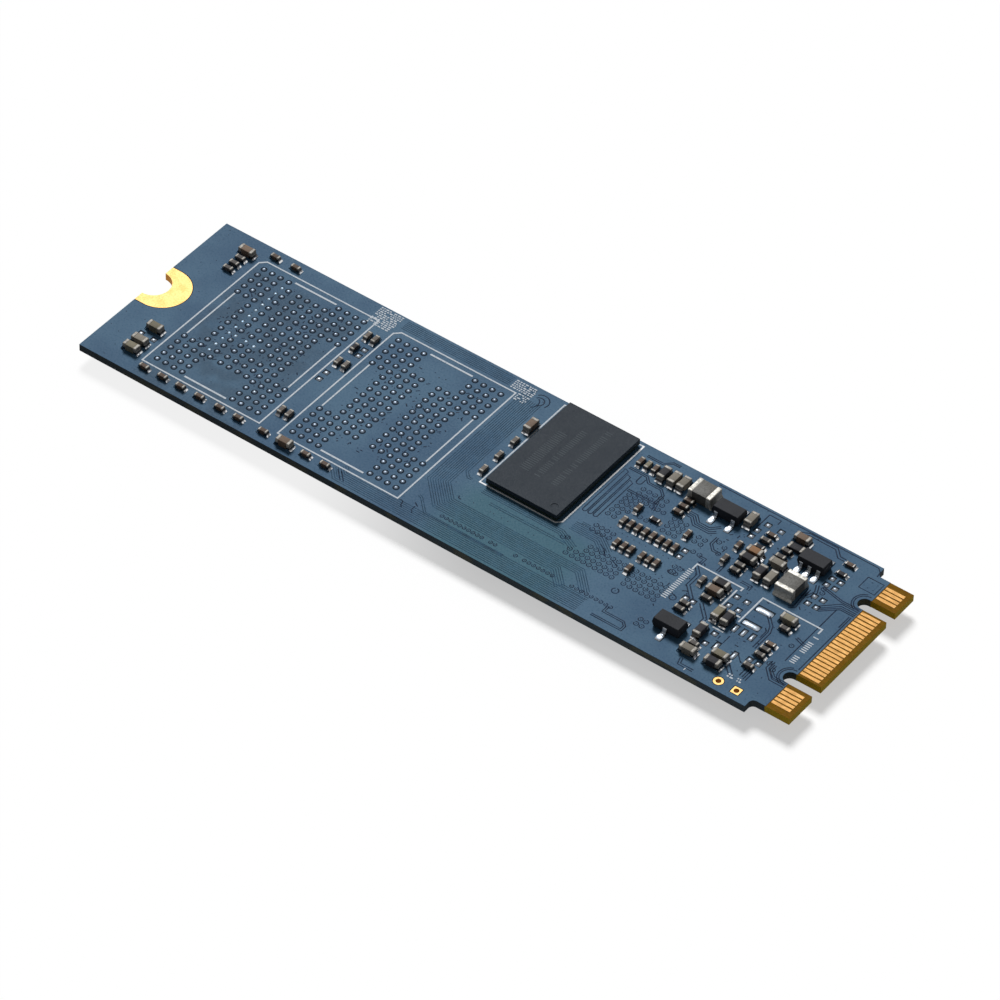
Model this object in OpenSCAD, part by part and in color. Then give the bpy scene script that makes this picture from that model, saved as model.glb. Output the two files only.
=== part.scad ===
/* [Card] */
// Length over the contact edge and the screw end
card_l = 80; // [80:1:110]
// Width of the card
card_w = 22; // [22:0.5:30]
// Thickness over both solder mask layers
card_t = 0.8; // [0.7:0.05:1.2]
// Thickness of one solder mask layer
mask_t = 0.03; // [0.02:0.005:0.05]
// Height of the tallest package under the card, which the card lies on
under_h = 1.2; // [1:0.05:1.5]

/* [Contact edge] */
// Width of the tongue that enters the socket
tongue_w = 19.7; // [19.7:0.05:20]
// Length of the tongue from the shoulders to its end
tongue_l = 4; // [4:0.1:4.5]
// Width of a key slot
key_w = 1.4; // [1.2:0.05:1.4]
// Depth of a key slot from the end of the tongue
key_depth = 3.5; // [3.3:0.05:3.6]
// Width of one contact finger
finger_w = 0.35; // [0.3:0.01:0.4]
// Length of one contact finger
finger_l = 2; // [1.5:0.05:2.1]
// Gap from the fingers to the end of the tongue
finger_gap = 0.45; // [0.3:0.05:0.6]

/* [Screw end] */
// Radius of the half-round screw notch, plated
notch_r = 1.75; // [1.6:0.05:1.8]
// Radius of the gold land round the notch
land_r = 2.85; // [2.6:0.05:3]
// How far the land runs straight before it turns round
land_straight = 1.05; // [0:0.05:1.2]

/* [Flash sites] */
// Pitch of the solder bumps, both ways
bump_pitch = 1; // [0.9:0.05:1]
// Width of one solder bump at its foot
bump_d = 0.55; // [0.4:0.01:0.55]
// Height of one solder bump over the mask
bump_h = 0.14; // [0.05:0.01:0.16]
// Width of a small bump of site 1 at its foot
small_bump_d = 0.32; // [0.25:0.01:0.35]
// Height of a small bump over the mask
small_bump_h = 0.06; // [0.03:0.01:0.1]
// Clear ring between a bump's foot and the mask
bump_ring = 0.07; // [0.03:0.01:0.07]
// Width of a printed line
print_w = 0.16; // [0.1:0.01:0.2]

/* [Packages] */
// Width of a flash package
flash_w = 14; // [12:0.5:14]
// Length of a flash package
flash_l = 18; // [17.5:0.5:18]
// Side of the square controller package
controller_s = 12; // [11:0.5:12]
// Width of the working memory package
memory_w = 8; // [7.5:0.5:8]
// Length of the working memory package
memory_l = 13; // [13:0.1:13.2]
// Height of the working memory package over the card
memory_h = 0.85; // [0.8:0.05:1.1]

/* [Hidden] */
$fn = 32;

// Heights: the packages under the card stand on z = 0
board_z0 = under_h;
board_z1 = under_h + card_t;
core_z0 = board_z0 + mask_t;
core_z1 = board_z1 - mask_t;
core_t = core_z1 - core_z0;
over = 0.5;

// Plan of the card, +X towards the contact edge and +Y to the far long edge
end_x = card_l / 2;
screw_x = -card_l / 2;
shoulder_x = end_x - tongue_l;
mask_end_x = end_x - finger_gap - finger_l - 0.1;
finger_x0 = end_x - finger_gap - finger_l;
shoulder_r = 0.5;

// Contact numbers count by 0.25 mm from the middle, 38, across the tongue
contact_pitch = 0.25;
contact_mid = 38;
function contact_y(n) = (n - contact_mid) * contact_pitch;
top_contacts = [each [2:2:10], each [20:2:58], each [68:2:74]];
bottom_contacts = [each [1:2:11], each [21:2:57], each [67:2:75]];
key_slots = [-5.625, 6.125];

// Copper and gold lie in the thickness of the mask, on the core
plating_t = 0.03;
land_ring = 0.08;

// The two bare flash sites and the packages under them share their centres
site_x = [-27.05, -10.95];
site_w = 14.1;
site_l = 18.2;
site_chamfer = 0.6;
print_t = 0.02;

// Rows and columns of a full flash pattern, counted from its middle
rows = [-8:8];
wide_columns = [-6, -5, -4, -3, 3, 4, 5, 6];
inner_columns = [-2, -1, 1, 2];
slim_columns = [-4, -3, 3, 4];
function is_end_row(r) = abs(r) > 3;
function is_outer_row(r) = abs(r) > 5;
side_bumps = [
    for (r = rows) for (c = is_end_row(r) ? wide_columns : slim_columns) [c, r]
];
inner_bumps = [
    for (r = rows) if (!is_outer_row(r)) for (c = inner_columns) [c, r]
];
flash_pattern = concat(side_bumps, inner_bumps);

// Site 1 also takes a second, closer pattern in its middle
dual_columns = [-2.25, -1, 0, 1.04, 2.08];
dual_rows_far = [for (i = [0:7]) 7 - i * 1.02];
dual_rows_near = [for (i = [0:2]) -2.75 - i * 1.02];
dual_extra = [[1.04, -1.15], [2.08, -1.15], [-2.25, -1.78], [-1, -1.78], [0, -1.9]];
dual_bumps = concat(
    [for (y = concat(dual_rows_far, dual_rows_near)) for (x = dual_columns) [x, y]],
    dual_extra
);

// The column that both patterns crowd has small bumps, and so have three lands between rows
function is_small(p) = p[0] == -3 && p[1] > -5 && p[1] < 8;
small_extra = [[-2.25, -0.98], [-1, -0.98], [0, -1.1]];

// Ball grids under the packages
ball_d = 0.46;
controller_pitch = 0.8;
controller_rows = 12;
memory_pitch = 0.8;
memory_rows = 16;
memory_columns = [-4, -3, -2, 2, 3, 4];
memory_grid = [
    for (r = [0:memory_rows - 1]) for (c = memory_columns)
        [c * memory_pitch, (r - (memory_rows - 1) / 2) * memory_pitch]
];
controller_grid = [
    for (r = [0:controller_rows - 1]) for (c = [0:controller_rows - 1])
        [(c - (controller_rows - 1) / 2) * controller_pitch,
         (r - (controller_rows - 1) / 2) * controller_pitch]
];

// Package layers, from the card outwards
ball_h = 0.25;
substrate_t = 0.25;
memory_ball_h = 0.2;
memory_substrate_t = 0.2;
dimple_d = 0.7;
dimple_depth = 0.05;
memory_at = [5.23, 3.92];
controller_at = [17.2, 0.2];

// Chip sizes: length, width, height and width of the end metal
small = [1, 0.5, 0.5, 0.25];
medium = [1.6, 0.8, 0.8, 0.35];
flat_small = [1, 0.5, 0.35, 0.22];
flat_medium = [1.6, 0.8, 0.45, 0.3];
coil = [2.5, 2, 1.2, 0.5];
end_t = 0.03;
fillet_l = 0.22;

// Chip places: x, y and turn about the card's normal
long_edge_small = [
    for (x = [-33.1, -30.9, -28.75, -26.5, -24.1, -21.9, -18.95, -14, -11.75]) [x, -9.85, 0],
    [-33.1, 9.85, 0], [-30.65, 9.85, 0]
];
long_edge_medium = [[-16.4, -9.92, 0]];
screw_end_small = [for (y = [7.65, 6.72, 5.8]) [-35.65, y, 0]];
screw_end_medium = [for (y = [8.7, -5.1, -7.35, -8.6]) [-35.65, y, 0]];
middle_small = [
    for (y = [6.47, 1.97, -6.55]) for (x = [-19.4, -18.52]) [x, y, 90]
];
memory_small = [for (y = [3.5, 1.08, -1.3]) [0.02, y, 90]];
memory_medium = [[0.03, 5.98, 90]];
far_row_small = [for (x = [10.72, 11.55, 12.38]) [x, 8.5, 90]];
far_row_medium = [for (x = [14.6, 15.65, 23.2]) [x, 8.37, 90]];
core_small = [
    for (i = [0:7]) [14.05 + i * 0.815, 1.18, 90],
    for (x = [15.23, 16.03, 16.8, 18.05, 18.83, 19.6]) [x, -1.52, 90],
    for (y = [6.95, 6.08, 5.2]) [17.25, y, 0],
    [14.15, 3.35, 90], [19.65, 3.35, 90], [18.03, -3.55, 90]
];
supply_small = [
    for (y = [5.05, 2.85, -0.68]) [24.1, y, 90],
    for (y = [7.09, 3.02, 2.2, -2.27]) [25.67, y, 0],
    for (y = [-4.05, -4.87]) [24.57, y, 0],
    for (y = [7.1, 6.15]) [27.95, y, 0],
    for (y = [-4.36, -5.2, -6.92]) [33.55, y, 0],
    [33.45, -1.15, 0], [28.15, -7.7, 0]
];
supply_medium = [
    [28.3, 9.2, 0], [25.85, 5.08, 0], [28.33, 5.12, 0], [28.88, 3.25, 90],
    [33.2, -0.12, 0], [25.82, -1.24, 0], [27.75, -3.35, 90],
    [28.25, -8.72, 0], [30.92, -7.58, 0]
];
ferrite_medium = [
    [13.45, 8.35, 90], [25.85, 4.02, 0], [27.72, 3.25, 90], [25.85, -0.16, 0],
    [28.8, -3.4, 90], [27.72, -6.1, 90], [30.86, -8.66, 0]
];
ferrite_small = [[-19.4, 4.45, 90]];
resistor_small = [
    [16.2, 3.1, 0], [25.67, 8.09, 0], [25.67, 6.12, 0],
    [33.45, 9.3, 0], [33.5, 7.85, 0], [33.55, -3.45, 0]
];
resistor_medium = [[28.4, 8.02, 0]];
coils = [[17.95, 8.4, 0], [30.93, 3.45, 90]];

// Bare chip sites: x, y, turn and pitch of the two pads, then the pad's size
bare_sites = [
    [-35.7, -6.2, 0, 1.5], [25.3, 9.1, 0, 1.45], [28.75, -6.05, 90, 1.5],
    [-19.5, -0.25, 90, 1.1], [-18.6, 4.45, 90, 0.95],
    [20.57, 1.2, 90, 0.95], [24.15, 7.47, 90, 0.95], [24.5, -3.22, 0, 0.8],
    [28.2, -0.25, 0, 1.1], [28.2, -1.57, 0, 1.05],
    for (y = [7, 6.05, 4.15, 3.05, -6]) [33.53, y, 0, 0.92]
];
bare_pad = [0.52, 0.5];
bare_pad_h = 0.07;
pad_ring = [0.15, 0.15];

// Bare sites with pads of other sizes: x, y, width along X, width along Y
site_pads = [
    [30.7, -0.25, 1.75, 0.75], [30.72, -2.4, 1.75, 0.7],
    for (x = [29.8, 30.72, 31.65]) [x, -3.6, 0.42, 0.9],
    for (x = [29.75, 31.65]) [x, -6.45, 0.42, 0.95]
];

// Gull-wing chips: body, stand-off and leads
lead_body = [2.9, 1.6, 1.1];
lead_t = 0.15;
lead_w = 0.4;
lead_span = 2.8;
lead_exit_z = 0.62;
foot_l = 0.42;
lead_pitch = 0.95;
five_lead_at = [21.1, 7.87];
six_lead_at = [30.9, 7.3];
three_lead_at = [25.2, -7.2];
near_lead_pad_l = 1.1;
far_lead_pad_l = 0.72;
lead_pad_side = 0.09;

// Test pads by the near long edge
test_at = [[32.4, -9.9], [34.35, -9.9]];
test_round_d = 0.98;
test_square_w = 0.84;
test_hole_d = 0.54;

// Parts under the card: places seen from above
crystal_at = [6.5, -6.2];
crystal_size = [3.2, 2.5, 0.7];
under_small = [
    for (i = [0:4]) [24.6, -4.2 + i * 2.2, 90],
    for (i = [0:3]) [9.6, -2 + i * 2, 90],
    for (i = [0:5]) [12.4 + i * 1.9, 7.6, 0],
    for (i = [0:5]) [12.4 + i * 1.9, -7.4, 0],
    for (y = [-6.2, -2.2, 2, 6.4]) for (x = [-19.4, -18.55]) [x, y, 90],
    for (y = [5, 1, -3]) [-2.4, y, 90]
];

// Points of a circle's arc from angle a to angle b
function arc(r, a, b, at = [0, 0], n = 6) = [
    for (i = [0:n]) at + r * [cos(a + (b - a) * i / n), sin(a + (b - a) * i / n)]
];
function turned(p, a) = [p[0] * cos(a) - p[1] * sin(a), p[0] * sin(a) + p[1] * cos(a)];

// Moves
module on_top() translate([0, 0, board_z1]) children();
module under() translate([0, 0, board_z0]) mirror([0, 0, 1]) children();
module at_places(places)
    for (p = places) translate([p[0], p[1], 0]) rotate(p[2]) children();
module block(size) translate([-size[0] / 2, -size[1] / 2, 0]) cube(size);

// Outline of the bare card: body, tongue, shoulder curves, key slots, screw notch
module card_plan(notch) {
    difference() {
        union() {
            translate([screw_x, -card_w / 2]) square([card_l - tongue_l, card_w]);
            translate([0, -tongue_w / 2]) square([end_x, tongue_w]);
            for (s = [-1, 1]) shoulder_curve(s);
        }
        for (y = key_slots) key_slot(y);
        translate([screw_x, 0]) circle(notch, $fn = 64);
    }
}

// Inside curve between the shoulder and the tongue, s = 1 on the far side
module shoulder_curve(s) {
    y0 = s > 0 ? tongue_w / 2 - over : -tongue_w / 2 - shoulder_r;
    difference() {
        translate([shoulder_x - over, y0]) square([over + shoulder_r, over + shoulder_r]);
        translate([shoulder_x + shoulder_r, s * (tongue_w / 2 + shoulder_r)])
            circle(shoulder_r);
    }
}

// Slot that keys the card to its socket, with a full round inner end
module key_slot(y) {
    translate([end_x - key_depth + key_w / 2, y]) {
        circle(key_w / 2);
        translate([0, -key_w / 2]) square([key_depth, key_w]);
    }
}

// Gold land round the screw notch: straight at the edge, then half round
module land_plan(grow) {
    difference() {
        union() {
            translate([screw_x + land_straight, 0]) circle(land_r + grow, $fn = 64);
            translate([screw_x, -land_r - grow]) square([land_straight, 2 * (land_r + grow)]);
        }
        translate([screw_x - 2 * land_r, -2 * land_r]) square([2 * land_r, 4 * land_r]);
    }
}

module test_pad_plans(grow) {
    translate(test_at[0]) circle(d = test_round_d + 2 * grow);
    translate(test_at[1]) square(test_square_w + 2 * grow, center = true);
}

// Glass-fibre core of the card
module board_core() {
    color([0.42, 0.36, 0.12]) translate([0, 0, core_z0]) linear_extrude(core_t) difference() {
        card_plan(notch_r + plating_t);
        for (p = test_at) translate(p) circle(d = test_hole_d + 2 * plating_t);
    }
}

// Places of a pattern's bumps on site i: x, y
function bumps_at(pattern, i) = [for (p = pattern) [site_x[i] + p[0] * bump_pitch, p[1] * bump_pitch]];
function site_1_bumps() = bumps_at(concat([for (p = side_bumps) if (!is_small(p)) p], dual_bumps), 0);
function site_1_small_bumps() =
    bumps_at(concat([for (p = side_bumps) if (is_small(p)) p], small_extra), 0);
function site_2_bumps() = bumps_at(flash_pattern, 1);

// Area of the mask: all but the tongue's contacts and the lands
module mask_plan() {
    difference() {
        card_plan(notch_r);
        translate([mask_end_x, -card_w]) square([card_l, 2 * card_w]);
        land_plan(land_ring);
        test_pad_plans(land_ring);
    }
}

module top_solder_mask() {
    color([0.24, 0.34, 0.42]) translate([0, 0, core_z1]) linear_extrude(mask_t) difference() {
        mask_plan();
        for (p = concat(site_1_bumps(), site_2_bumps())) translate(p) bump_opening(bump_d);
        for (p = site_1_small_bumps()) translate(p) bump_opening(small_bump_d);
        for (s = bare_sites) for (e = [-1, 1])
            translate(bare_pad_at(s, e)) square(bare_pad + pad_ring, center = true);
        for (s = site_pads) translate([s[0], s[1]]) square([s[2], s[3]] + pad_ring, center = true);
    }
}

module bump_opening(d) circle(d = d + 2 * bump_ring, $fn = 12);

module bottom_solder_mask() {
    color([0.24, 0.34, 0.42]) translate([0, 0, board_z0]) linear_extrude(mask_t) mask_plan();
}

// Gold contacts, one for each number in the list
module fingers(numbers) {
    for (n = numbers)
        translate([finger_x0, contact_y(n) - finger_w / 2, 0]) cube([finger_l, finger_w, mask_t]);
}

module contact_fingers_top() {
    color([0.93, 0.72, 0.3]) translate([0, 0, core_z1]) fingers(top_contacts);
}

module contact_fingers_bottom() {
    color([0.93, 0.72, 0.3]) translate([0, 0, board_z0]) fingers(bottom_contacts);
}

// Both lands and the plated half wall between them, one piece
module screw_notch_plating() {
    color([0.95, 0.8, 0.35]) difference() {
        union() {
            for (z = [board_z0, core_z1]) translate([0, 0, z]) linear_extrude(mask_t) land_plan(0);
            translate([screw_x, 0, core_z0]) cylinder(core_t, r = notch_r + plating_t, $fn = 64);
        }
        translate([screw_x, 0, 0]) cylinder(board_z1 + over, r = notch_r, $fn = 64);
        translate([screw_x - 2 * notch_r, -2 * notch_r, 0])
            cube([2 * notch_r, 4 * notch_r, board_z1 + over]);
    }
}

// Solder dome on a round land: the cap of a sphere, its foot level with the core
module solder_bump(d, h) {
    cap_h = mask_t + h;
    dome_r = (pow(d / 2, 2) + pow(cap_h, 2)) / (2 * cap_h);
    intersection() {
        translate([0, 0, cap_h - dome_r]) sphere(dome_r);
        translate([-d, -d, 0]) cube([2 * d, 2 * d, 2 * cap_h]);
    }
}

module bump_set(places, d, h) for (p = places) translate([p[0], p[1], core_z1]) solder_bump(d, h);

module flash_site_1_bumps() {
    color([0.75, 0.78, 0.8]) {
        bump_set(site_1_bumps(), bump_d, bump_h);
        bump_set(site_1_small_bumps(), small_bump_d, small_bump_h);
    }
}

module flash_site_2_bumps() {
    color([0.75, 0.78, 0.8]) bump_set(site_2_bumps(), bump_d, bump_h);
}

// Printed frame with the corners in cut (x sign, y sign) taken off at 45 degrees
module chamfered_frame(w, l, c, cut) {
    difference() {
        chamfered_area(w, l, c, cut);
        chamfered_area(w - 2 * print_w, l - 2 * print_w, c - 0.4 * print_w, cut);
    }
}

module chamfered_area(w, l, c, cut) {
    difference() {
        square([w, l], center = true);
        translate([cut[0] * w / 2, cut[1] * l / 2]) rotate(45)
            square(c * sqrt(2), center = true);
    }
}

// Frame and inner tick lines of one flash site
module site_print() {
    chamfered_frame(site_w, site_l, site_chamfer, [-1, 1]);
    for (s = [-1, 1]) {
        translate([0, s * 8.33]) square([4.95, 0.2], center = true);
        translate([s * 6.05, 0.05]) square([print_w, 7.2], center = true);
    }
}

module flash_site_outlines() {
    color("white") on_top() linear_extrude(print_t) for (x = site_x) translate([x, 0]) site_print();
}

module memory_outline() {
    color("white") on_top() linear_extrude(print_t) translate([5.11, 3.94])
        chamfered_frame(9.2, 13.3, 0.5, [1, -1]);
}

// Open brackets and short strokes beside the supply parts
module bracket_marks() {
    color("white") on_top() linear_extrude(print_t) {
        open_bracket(22.35, 27.55, 0.97, 0.15, 0.55);
        open_bracket(29.5, 36.1, 1.07, -2.8, 0.4);
        stroke(27.08, -2, print_w, 2.45);
        stroke(28.1, -4.78, 1.2, print_w);
        stroke(28.98, -2.3, 0.4, print_w);
        stroke(26.98, -4.78, 0.35, print_w);
        stroke(29.15, -10.72, 0.1, 0.3);
    }
}

module stroke(x, y, w, l) translate([x, y]) square([w, l]);

module open_bracket(x0, x1, y, y_left, y_right) {
    stroke(x0, y - print_w / 2, x1 - x0, print_w);
    stroke(x0, y_left, print_w, y - y_left);
    stroke(x1 - print_w, y_right, print_w, y - y_right);
}

// Solder ball pressed between a package and the card
module ball(h) {
    intersection() {
        translate([0, 0, h / 2]) sphere(d = ball_d);
        translate([-ball_d, -ball_d, 0]) cube([2 * ball_d, 2 * ball_d, h]);
    }
}

module balls(grid, h) for (p = grid) translate([p[0], p[1], 0]) ball(h);

// Moulded cap from height z0 to z1, with the round dimple that marks its first corner
module mould_cap(w, l, z0, z1, corner) {
    difference() {
        translate([0, 0, z0]) block([w, l, z1 - z0]);
        translate([corner[0] * (w / 2 - 0.9), corner[1] * (l / 2 - 0.9), z1 - dimple_depth])
            cylinder(over, d = dimple_d);
    }
}

module memory_mould() {
    z0 = memory_ball_h + memory_substrate_t;
    color([0.17, 0.17, 0.18]) on_top() translate(memory_at)
        mould_cap(memory_w, memory_l, z0, memory_h, [1, -1]);
}

module memory_substrate() {
    color([0.1, 0.16, 0.12]) on_top() translate([memory_at[0], memory_at[1], memory_ball_h])
        block([memory_w, memory_l, memory_substrate_t]);
}

module memory_balls() {
    color("silver") on_top() translate(memory_at) balls(memory_grid, memory_ball_h);
}

module controller_mould() {
    color([0.13, 0.13, 0.14]) under() translate(controller_at)
        mould_cap(controller_s, controller_s, ball_h + substrate_t, under_h, [-1, 1]);
}

module controller_substrate() {
    color([0.1, 0.16, 0.12]) under() translate([controller_at[0], controller_at[1], ball_h])
        block([controller_s, controller_s, substrate_t]);
}

module controller_balls() {
    color("silver") under() translate(controller_at) balls(controller_grid, ball_h);
}

// Flash packages: i = 0 at the screw end, 1 in the middle
module flash_mould(i) {
    color([0.13, 0.13, 0.14]) under() translate([site_x[i], 0, 0])
        mould_cap(flash_w, flash_l, ball_h + substrate_t, under_h, [-1, 1]);
}

module flash_substrate(i) {
    color([0.1, 0.16, 0.12]) under() translate([site_x[i], 0, ball_h])
        block([flash_w, flash_l, substrate_t]);
}

module flash_balls(i) {
    color("silver") under() translate([site_x[i], 0, 0]) balls(bump_pitch * flash_pattern, ball_h);
}

module flash_1_mould() flash_mould(0);
module flash_1_substrate() flash_substrate(0);
module flash_1_balls() flash_balls(0);
module flash_2_mould() flash_mould(1);
module flash_2_substrate() flash_substrate(1);
module flash_2_balls() flash_balls(1);

// Ceramic body of a chip, size = length, width, height, end metal
module chip_body(size) {
    translate([0, 0, end_t])
        block([size[0] - 2 * end_t, size[1] - 2 * end_t, size[2] - 2 * end_t]);
}

// Metal end of a chip with its solder fillet, s = 1 at +X
module chip_end(size, s) {
    mirror([s < 0 ? 1 : 0, 0, 0]) difference() {
        union() {
            translate([size[0] / 2 - size[3], -size[1] / 2, 0]) cube([size[3], size[1], size[2]]);
            translate([size[0] / 2 - end_t, size[1] * 0.46, 0]) rotate([90, 0, 0])
                linear_extrude(size[1] * 0.92) fillet_plan(size[2] * 0.7);
        }
        chip_body(size);
    }
}

// Hollow curve that solder takes up the end of a chip
module fillet_plan(h) {
    polygon(concat(
        [[0, 0]],
        [for (i = [0:5]) [end_t + fillet_l * pow(1 - i / 5, 2), h * pow(i / 5, 2)]],
        [[0, h]]
    ));
}

module chip_bodies(places, size) at_places(places) chip_body(size);
module chip_ends(places, size) at_places(places) for (s = [-1, 1]) chip_end(size, s);

module screw_end_capacitor_bodies() {
    color([0.62, 0.5, 0.38]) on_top() {
        chip_bodies(screw_end_small, small);
        chip_bodies(screw_end_medium, medium);
    }
}

module screw_end_capacitor_ends() {
    color("lightgray") on_top() {
        chip_ends(screw_end_small, small);
        chip_ends(screw_end_medium, medium);
    }
}

module long_edge_capacitor_bodies() {
    color([0.62, 0.5, 0.38]) on_top() {
        chip_bodies(long_edge_small, small);
        chip_bodies(long_edge_medium, medium);
    }
}

module long_edge_capacitor_ends() {
    color("lightgray") on_top() {
        chip_ends(long_edge_small, small);
        chip_ends(long_edge_medium, medium);
    }
}

module middle_capacitor_bodies() {
    color([0.62, 0.5, 0.38]) on_top() chip_bodies(middle_small, small);
}

module middle_capacitor_ends() {
    color("lightgray") on_top() chip_ends(middle_small, small);
}

module memory_capacitor_bodies() {
    color([0.62, 0.45, 0.32]) on_top() {
        chip_bodies(memory_small, small);
        chip_bodies(memory_medium, medium);
    }
}

module memory_capacitor_ends() {
    color("lightgray") on_top() {
        chip_ends(memory_small, small);
        chip_ends(memory_medium, medium);
    }
}

module far_row_capacitor_bodies() {
    color([0.66, 0.6, 0.5]) on_top() {
        chip_bodies(far_row_small, small);
        chip_bodies(far_row_medium, medium);
    }
}

module far_row_capacitor_ends() {
    color("lightgray") on_top() {
        chip_ends(far_row_small, small);
        chip_ends(far_row_medium, medium);
    }
}

module core_capacitor_bodies() {
    color([0.55, 0.42, 0.34]) on_top() chip_bodies(core_small, small);
}

module core_capacitor_ends() {
    color("lightgray") on_top() chip_ends(core_small, small);
}

module supply_capacitor_bodies() {
    color([0.66, 0.58, 0.46]) on_top() {
        chip_bodies(supply_small, small);
        chip_bodies(supply_medium, medium);
    }
}

module supply_capacitor_ends() {
    color("lightgray") on_top() {
        chip_ends(supply_small, small);
        chip_ends(supply_medium, medium);
    }
}

module ferrite_bodies() {
    color([0.25, 0.24, 0.25]) on_top() {
        chip_bodies(ferrite_small, small);
        chip_bodies(ferrite_medium, medium);
    }
}

module ferrite_ends() {
    color("lightgray") on_top() {
        chip_ends(ferrite_small, small);
        chip_ends(ferrite_medium, medium);
    }
}

module resistor_bodies() {
    color([0.12, 0.12, 0.13]) on_top() {
        chip_bodies(resistor_small, flat_small);
        chip_bodies(resistor_medium, flat_medium);
    }
}

module resistor_ends() {
    color("lightgray") on_top() {
        chip_ends(resistor_small, flat_small);
        chip_ends(resistor_medium, flat_medium);
    }
}

module inductor_bodies() {
    color([0.5, 0.48, 0.42]) on_top() chip_bodies(coils, coil);
}

module inductor_terminals() {
    color("lightgray") on_top() chip_ends(coils, coil);
}

// Centre of one of a bare site's two pads, e = -1 or 1
function bare_pad_at(s, e) = [s[0], s[1]] + turned([e * s[3] / 2, 0], s[2]);

// Low tinned pad with bevelled top edges, made by crossing two profiles
module tin_pad(w, l, h) {
    intersection() {
        rotate([90, 0, 0]) translate([0, 0, -l / 2]) linear_extrude(l) pad_profile(w, h);
        rotate([90, 0, 90]) translate([0, 0, -w / 2]) linear_extrude(w) pad_profile(l, h);
    }
}

module pad_profile(w, h) {
    polygon([
        [-w / 2, 0], [w / 2, 0], [w / 2, mask_t], [w / 2 - 0.1, mask_t + h],
        [0.1 - w / 2, mask_t + h], [-w / 2, mask_t]
    ]);
}

module bare_chip_pads() {
    color("silver") for (s = bare_sites) for (e = [-1, 1]) {
        p = bare_pad_at(s, e);
        translate([p[0], p[1], core_z1]) tin_pad(bare_pad[0], bare_pad[1], bare_pad_h);
    }
}

module bare_site_pads() {
    color("silver") for (s = site_pads)
        translate([s[0], s[1], core_z1]) tin_pad(s[2], s[3], bare_pad_h);
}

// Gold rings on both faces, joined by a plated hole
module test_pads() {
    color([0.95, 0.8, 0.35]) difference() {
        union() {
            for (z = [board_z0, core_z1]) translate([0, 0, z]) linear_extrude(mask_t) test_pad_plans(0);
            for (p = test_at) translate([p[0], p[1], core_z0])
                cylinder(core_t, d = test_hole_d + 2 * plating_t);
        }
        for (p = test_at) translate([p[0], p[1], 0]) cylinder(board_z1 + over, d = test_hole_d);
    }
}

// Plastic body with drafted sides above and below its parting line
module lead_chip_body() {
    size = lead_body;
    translate([0, 0, 0.05]) intersection() {
        rotate([90, 0, 0]) translate([0, 0, -size[1] / 2]) linear_extrude(size[1])
            drafted_profile(size[0], size[2] - 0.05);
        rotate([90, 0, 90]) translate([0, 0, -size[0] / 2]) linear_extrude(size[0])
            drafted_profile(size[1], size[2] - 0.05);
    }
}

module drafted_profile(w, h) {
    m = lead_exit_z - 0.05;
    draft = 0.09;
    polygon([
        [draft - w / 2, 0], [w / 2 - draft, 0], [w / 2, m], [w / 2 - draft, h],
        [draft - w / 2, h], [-w / 2, m]
    ]);
}

// Side view of a gull-wing lead, +X outwards from the body, foot at z = 0
module lead_profile() {
    x0 = lead_body[1] / 2 - 0.3;
    x1 = lead_span / 2;
    knee = x1 - foot_l;
    r = 0.1;
    top = lead_exit_z + lead_t / 2;
    polygon(concat(
        [[x0, top - lead_t], [x0, top]],
        arc(r + lead_t, 90, 12, [knee - 2 * r - lead_t, top - r - lead_t]),
        arc(r, 192, 270, [knee + r, lead_t + r]),
        [[x1, lead_t], [x1, 0]],
        arc(r + lead_t, 270, 192, [knee + r, r + lead_t]),
        arc(r, 12, 90, [knee - 2 * r - lead_t, top - r - lead_t])
    ));
}

// Solder under and round the foot, as long as its land
module foot_solder(l) {
    x0 = lead_span / 2 - foot_l - 0.1;
    translate([x0, 0, 0]) rotate([90, 0, 0]) translate([0, 0, -lead_w / 2 - lead_pad_side])
        linear_extrude(lead_w + 2 * lead_pad_side) polygon([
            [0, 0], [l, 0], [l, 0.03], [l - 0.15, 0.09],
            [foot_l + 0.12, lead_t * 0.9], [0.05, lead_t * 0.8], [0, 0.05]
        ]);
}

// One lead with its solder, out along a: 90 for the far side, -90 for the near side
module lead(x, a) {
    translate([x, 0, 0]) rotate(a) {
        difference() {
            translate([0, lead_w / 2, 0]) rotate([90, 0, 0]) linear_extrude(lead_w) lead_profile();
            rotate(-a) lead_chip_body_at(-x);
        }
        difference() {
            foot_solder(a < 0 ? near_lead_pad_l : far_lead_pad_l);
            translate([0, lead_w / 2, 0]) rotate([90, 0, 0]) linear_extrude(lead_w) lead_profile();
        }
    }
}

module lead_chip_body_at(x) translate([x, 0, 0]) lead_chip_body();

module lead_set(near, far) {
    for (x = near) lead(x, -90);
    for (x = far) lead(x, 90);
}

all_three = [-lead_pitch, 0, lead_pitch];
outer_two = [-lead_pitch, lead_pitch];

module five_lead_chip_body() color([0.2, 0.2, 0.21]) on_top() translate(five_lead_at) lead_chip_body();
module six_lead_chip_body() color([0.2, 0.2, 0.21]) on_top() translate(six_lead_at) lead_chip_body();
module three_lead_chip_body() color([0.2, 0.2, 0.21]) on_top() translate(three_lead_at) lead_chip_body();
module five_lead_chip_leads() color("silver") on_top() translate(five_lead_at) lead_set(outer_two, all_three);
module six_lead_chip_leads() color("silver") on_top() translate(six_lead_at) lead_set(all_three, all_three);
module three_lead_chip_leads() color("silver") on_top() translate(three_lead_at) lead_set([0], outer_two);

// Metal can of the clock crystal on its ceramic base
module crystal_base() {
    color([0.85, 0.83, 0.78]) under() translate(crystal_at)
        block([crystal_size[0], crystal_size[1], crystal_size[2] * 0.6]);
}

module crystal_can() {
    color("silver") under() translate([crystal_at[0], crystal_at[1], crystal_size[2] * 0.6])
        block([crystal_size[0] - 0.3, crystal_size[1] - 0.3, crystal_size[2] * 0.4]);
}

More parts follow.
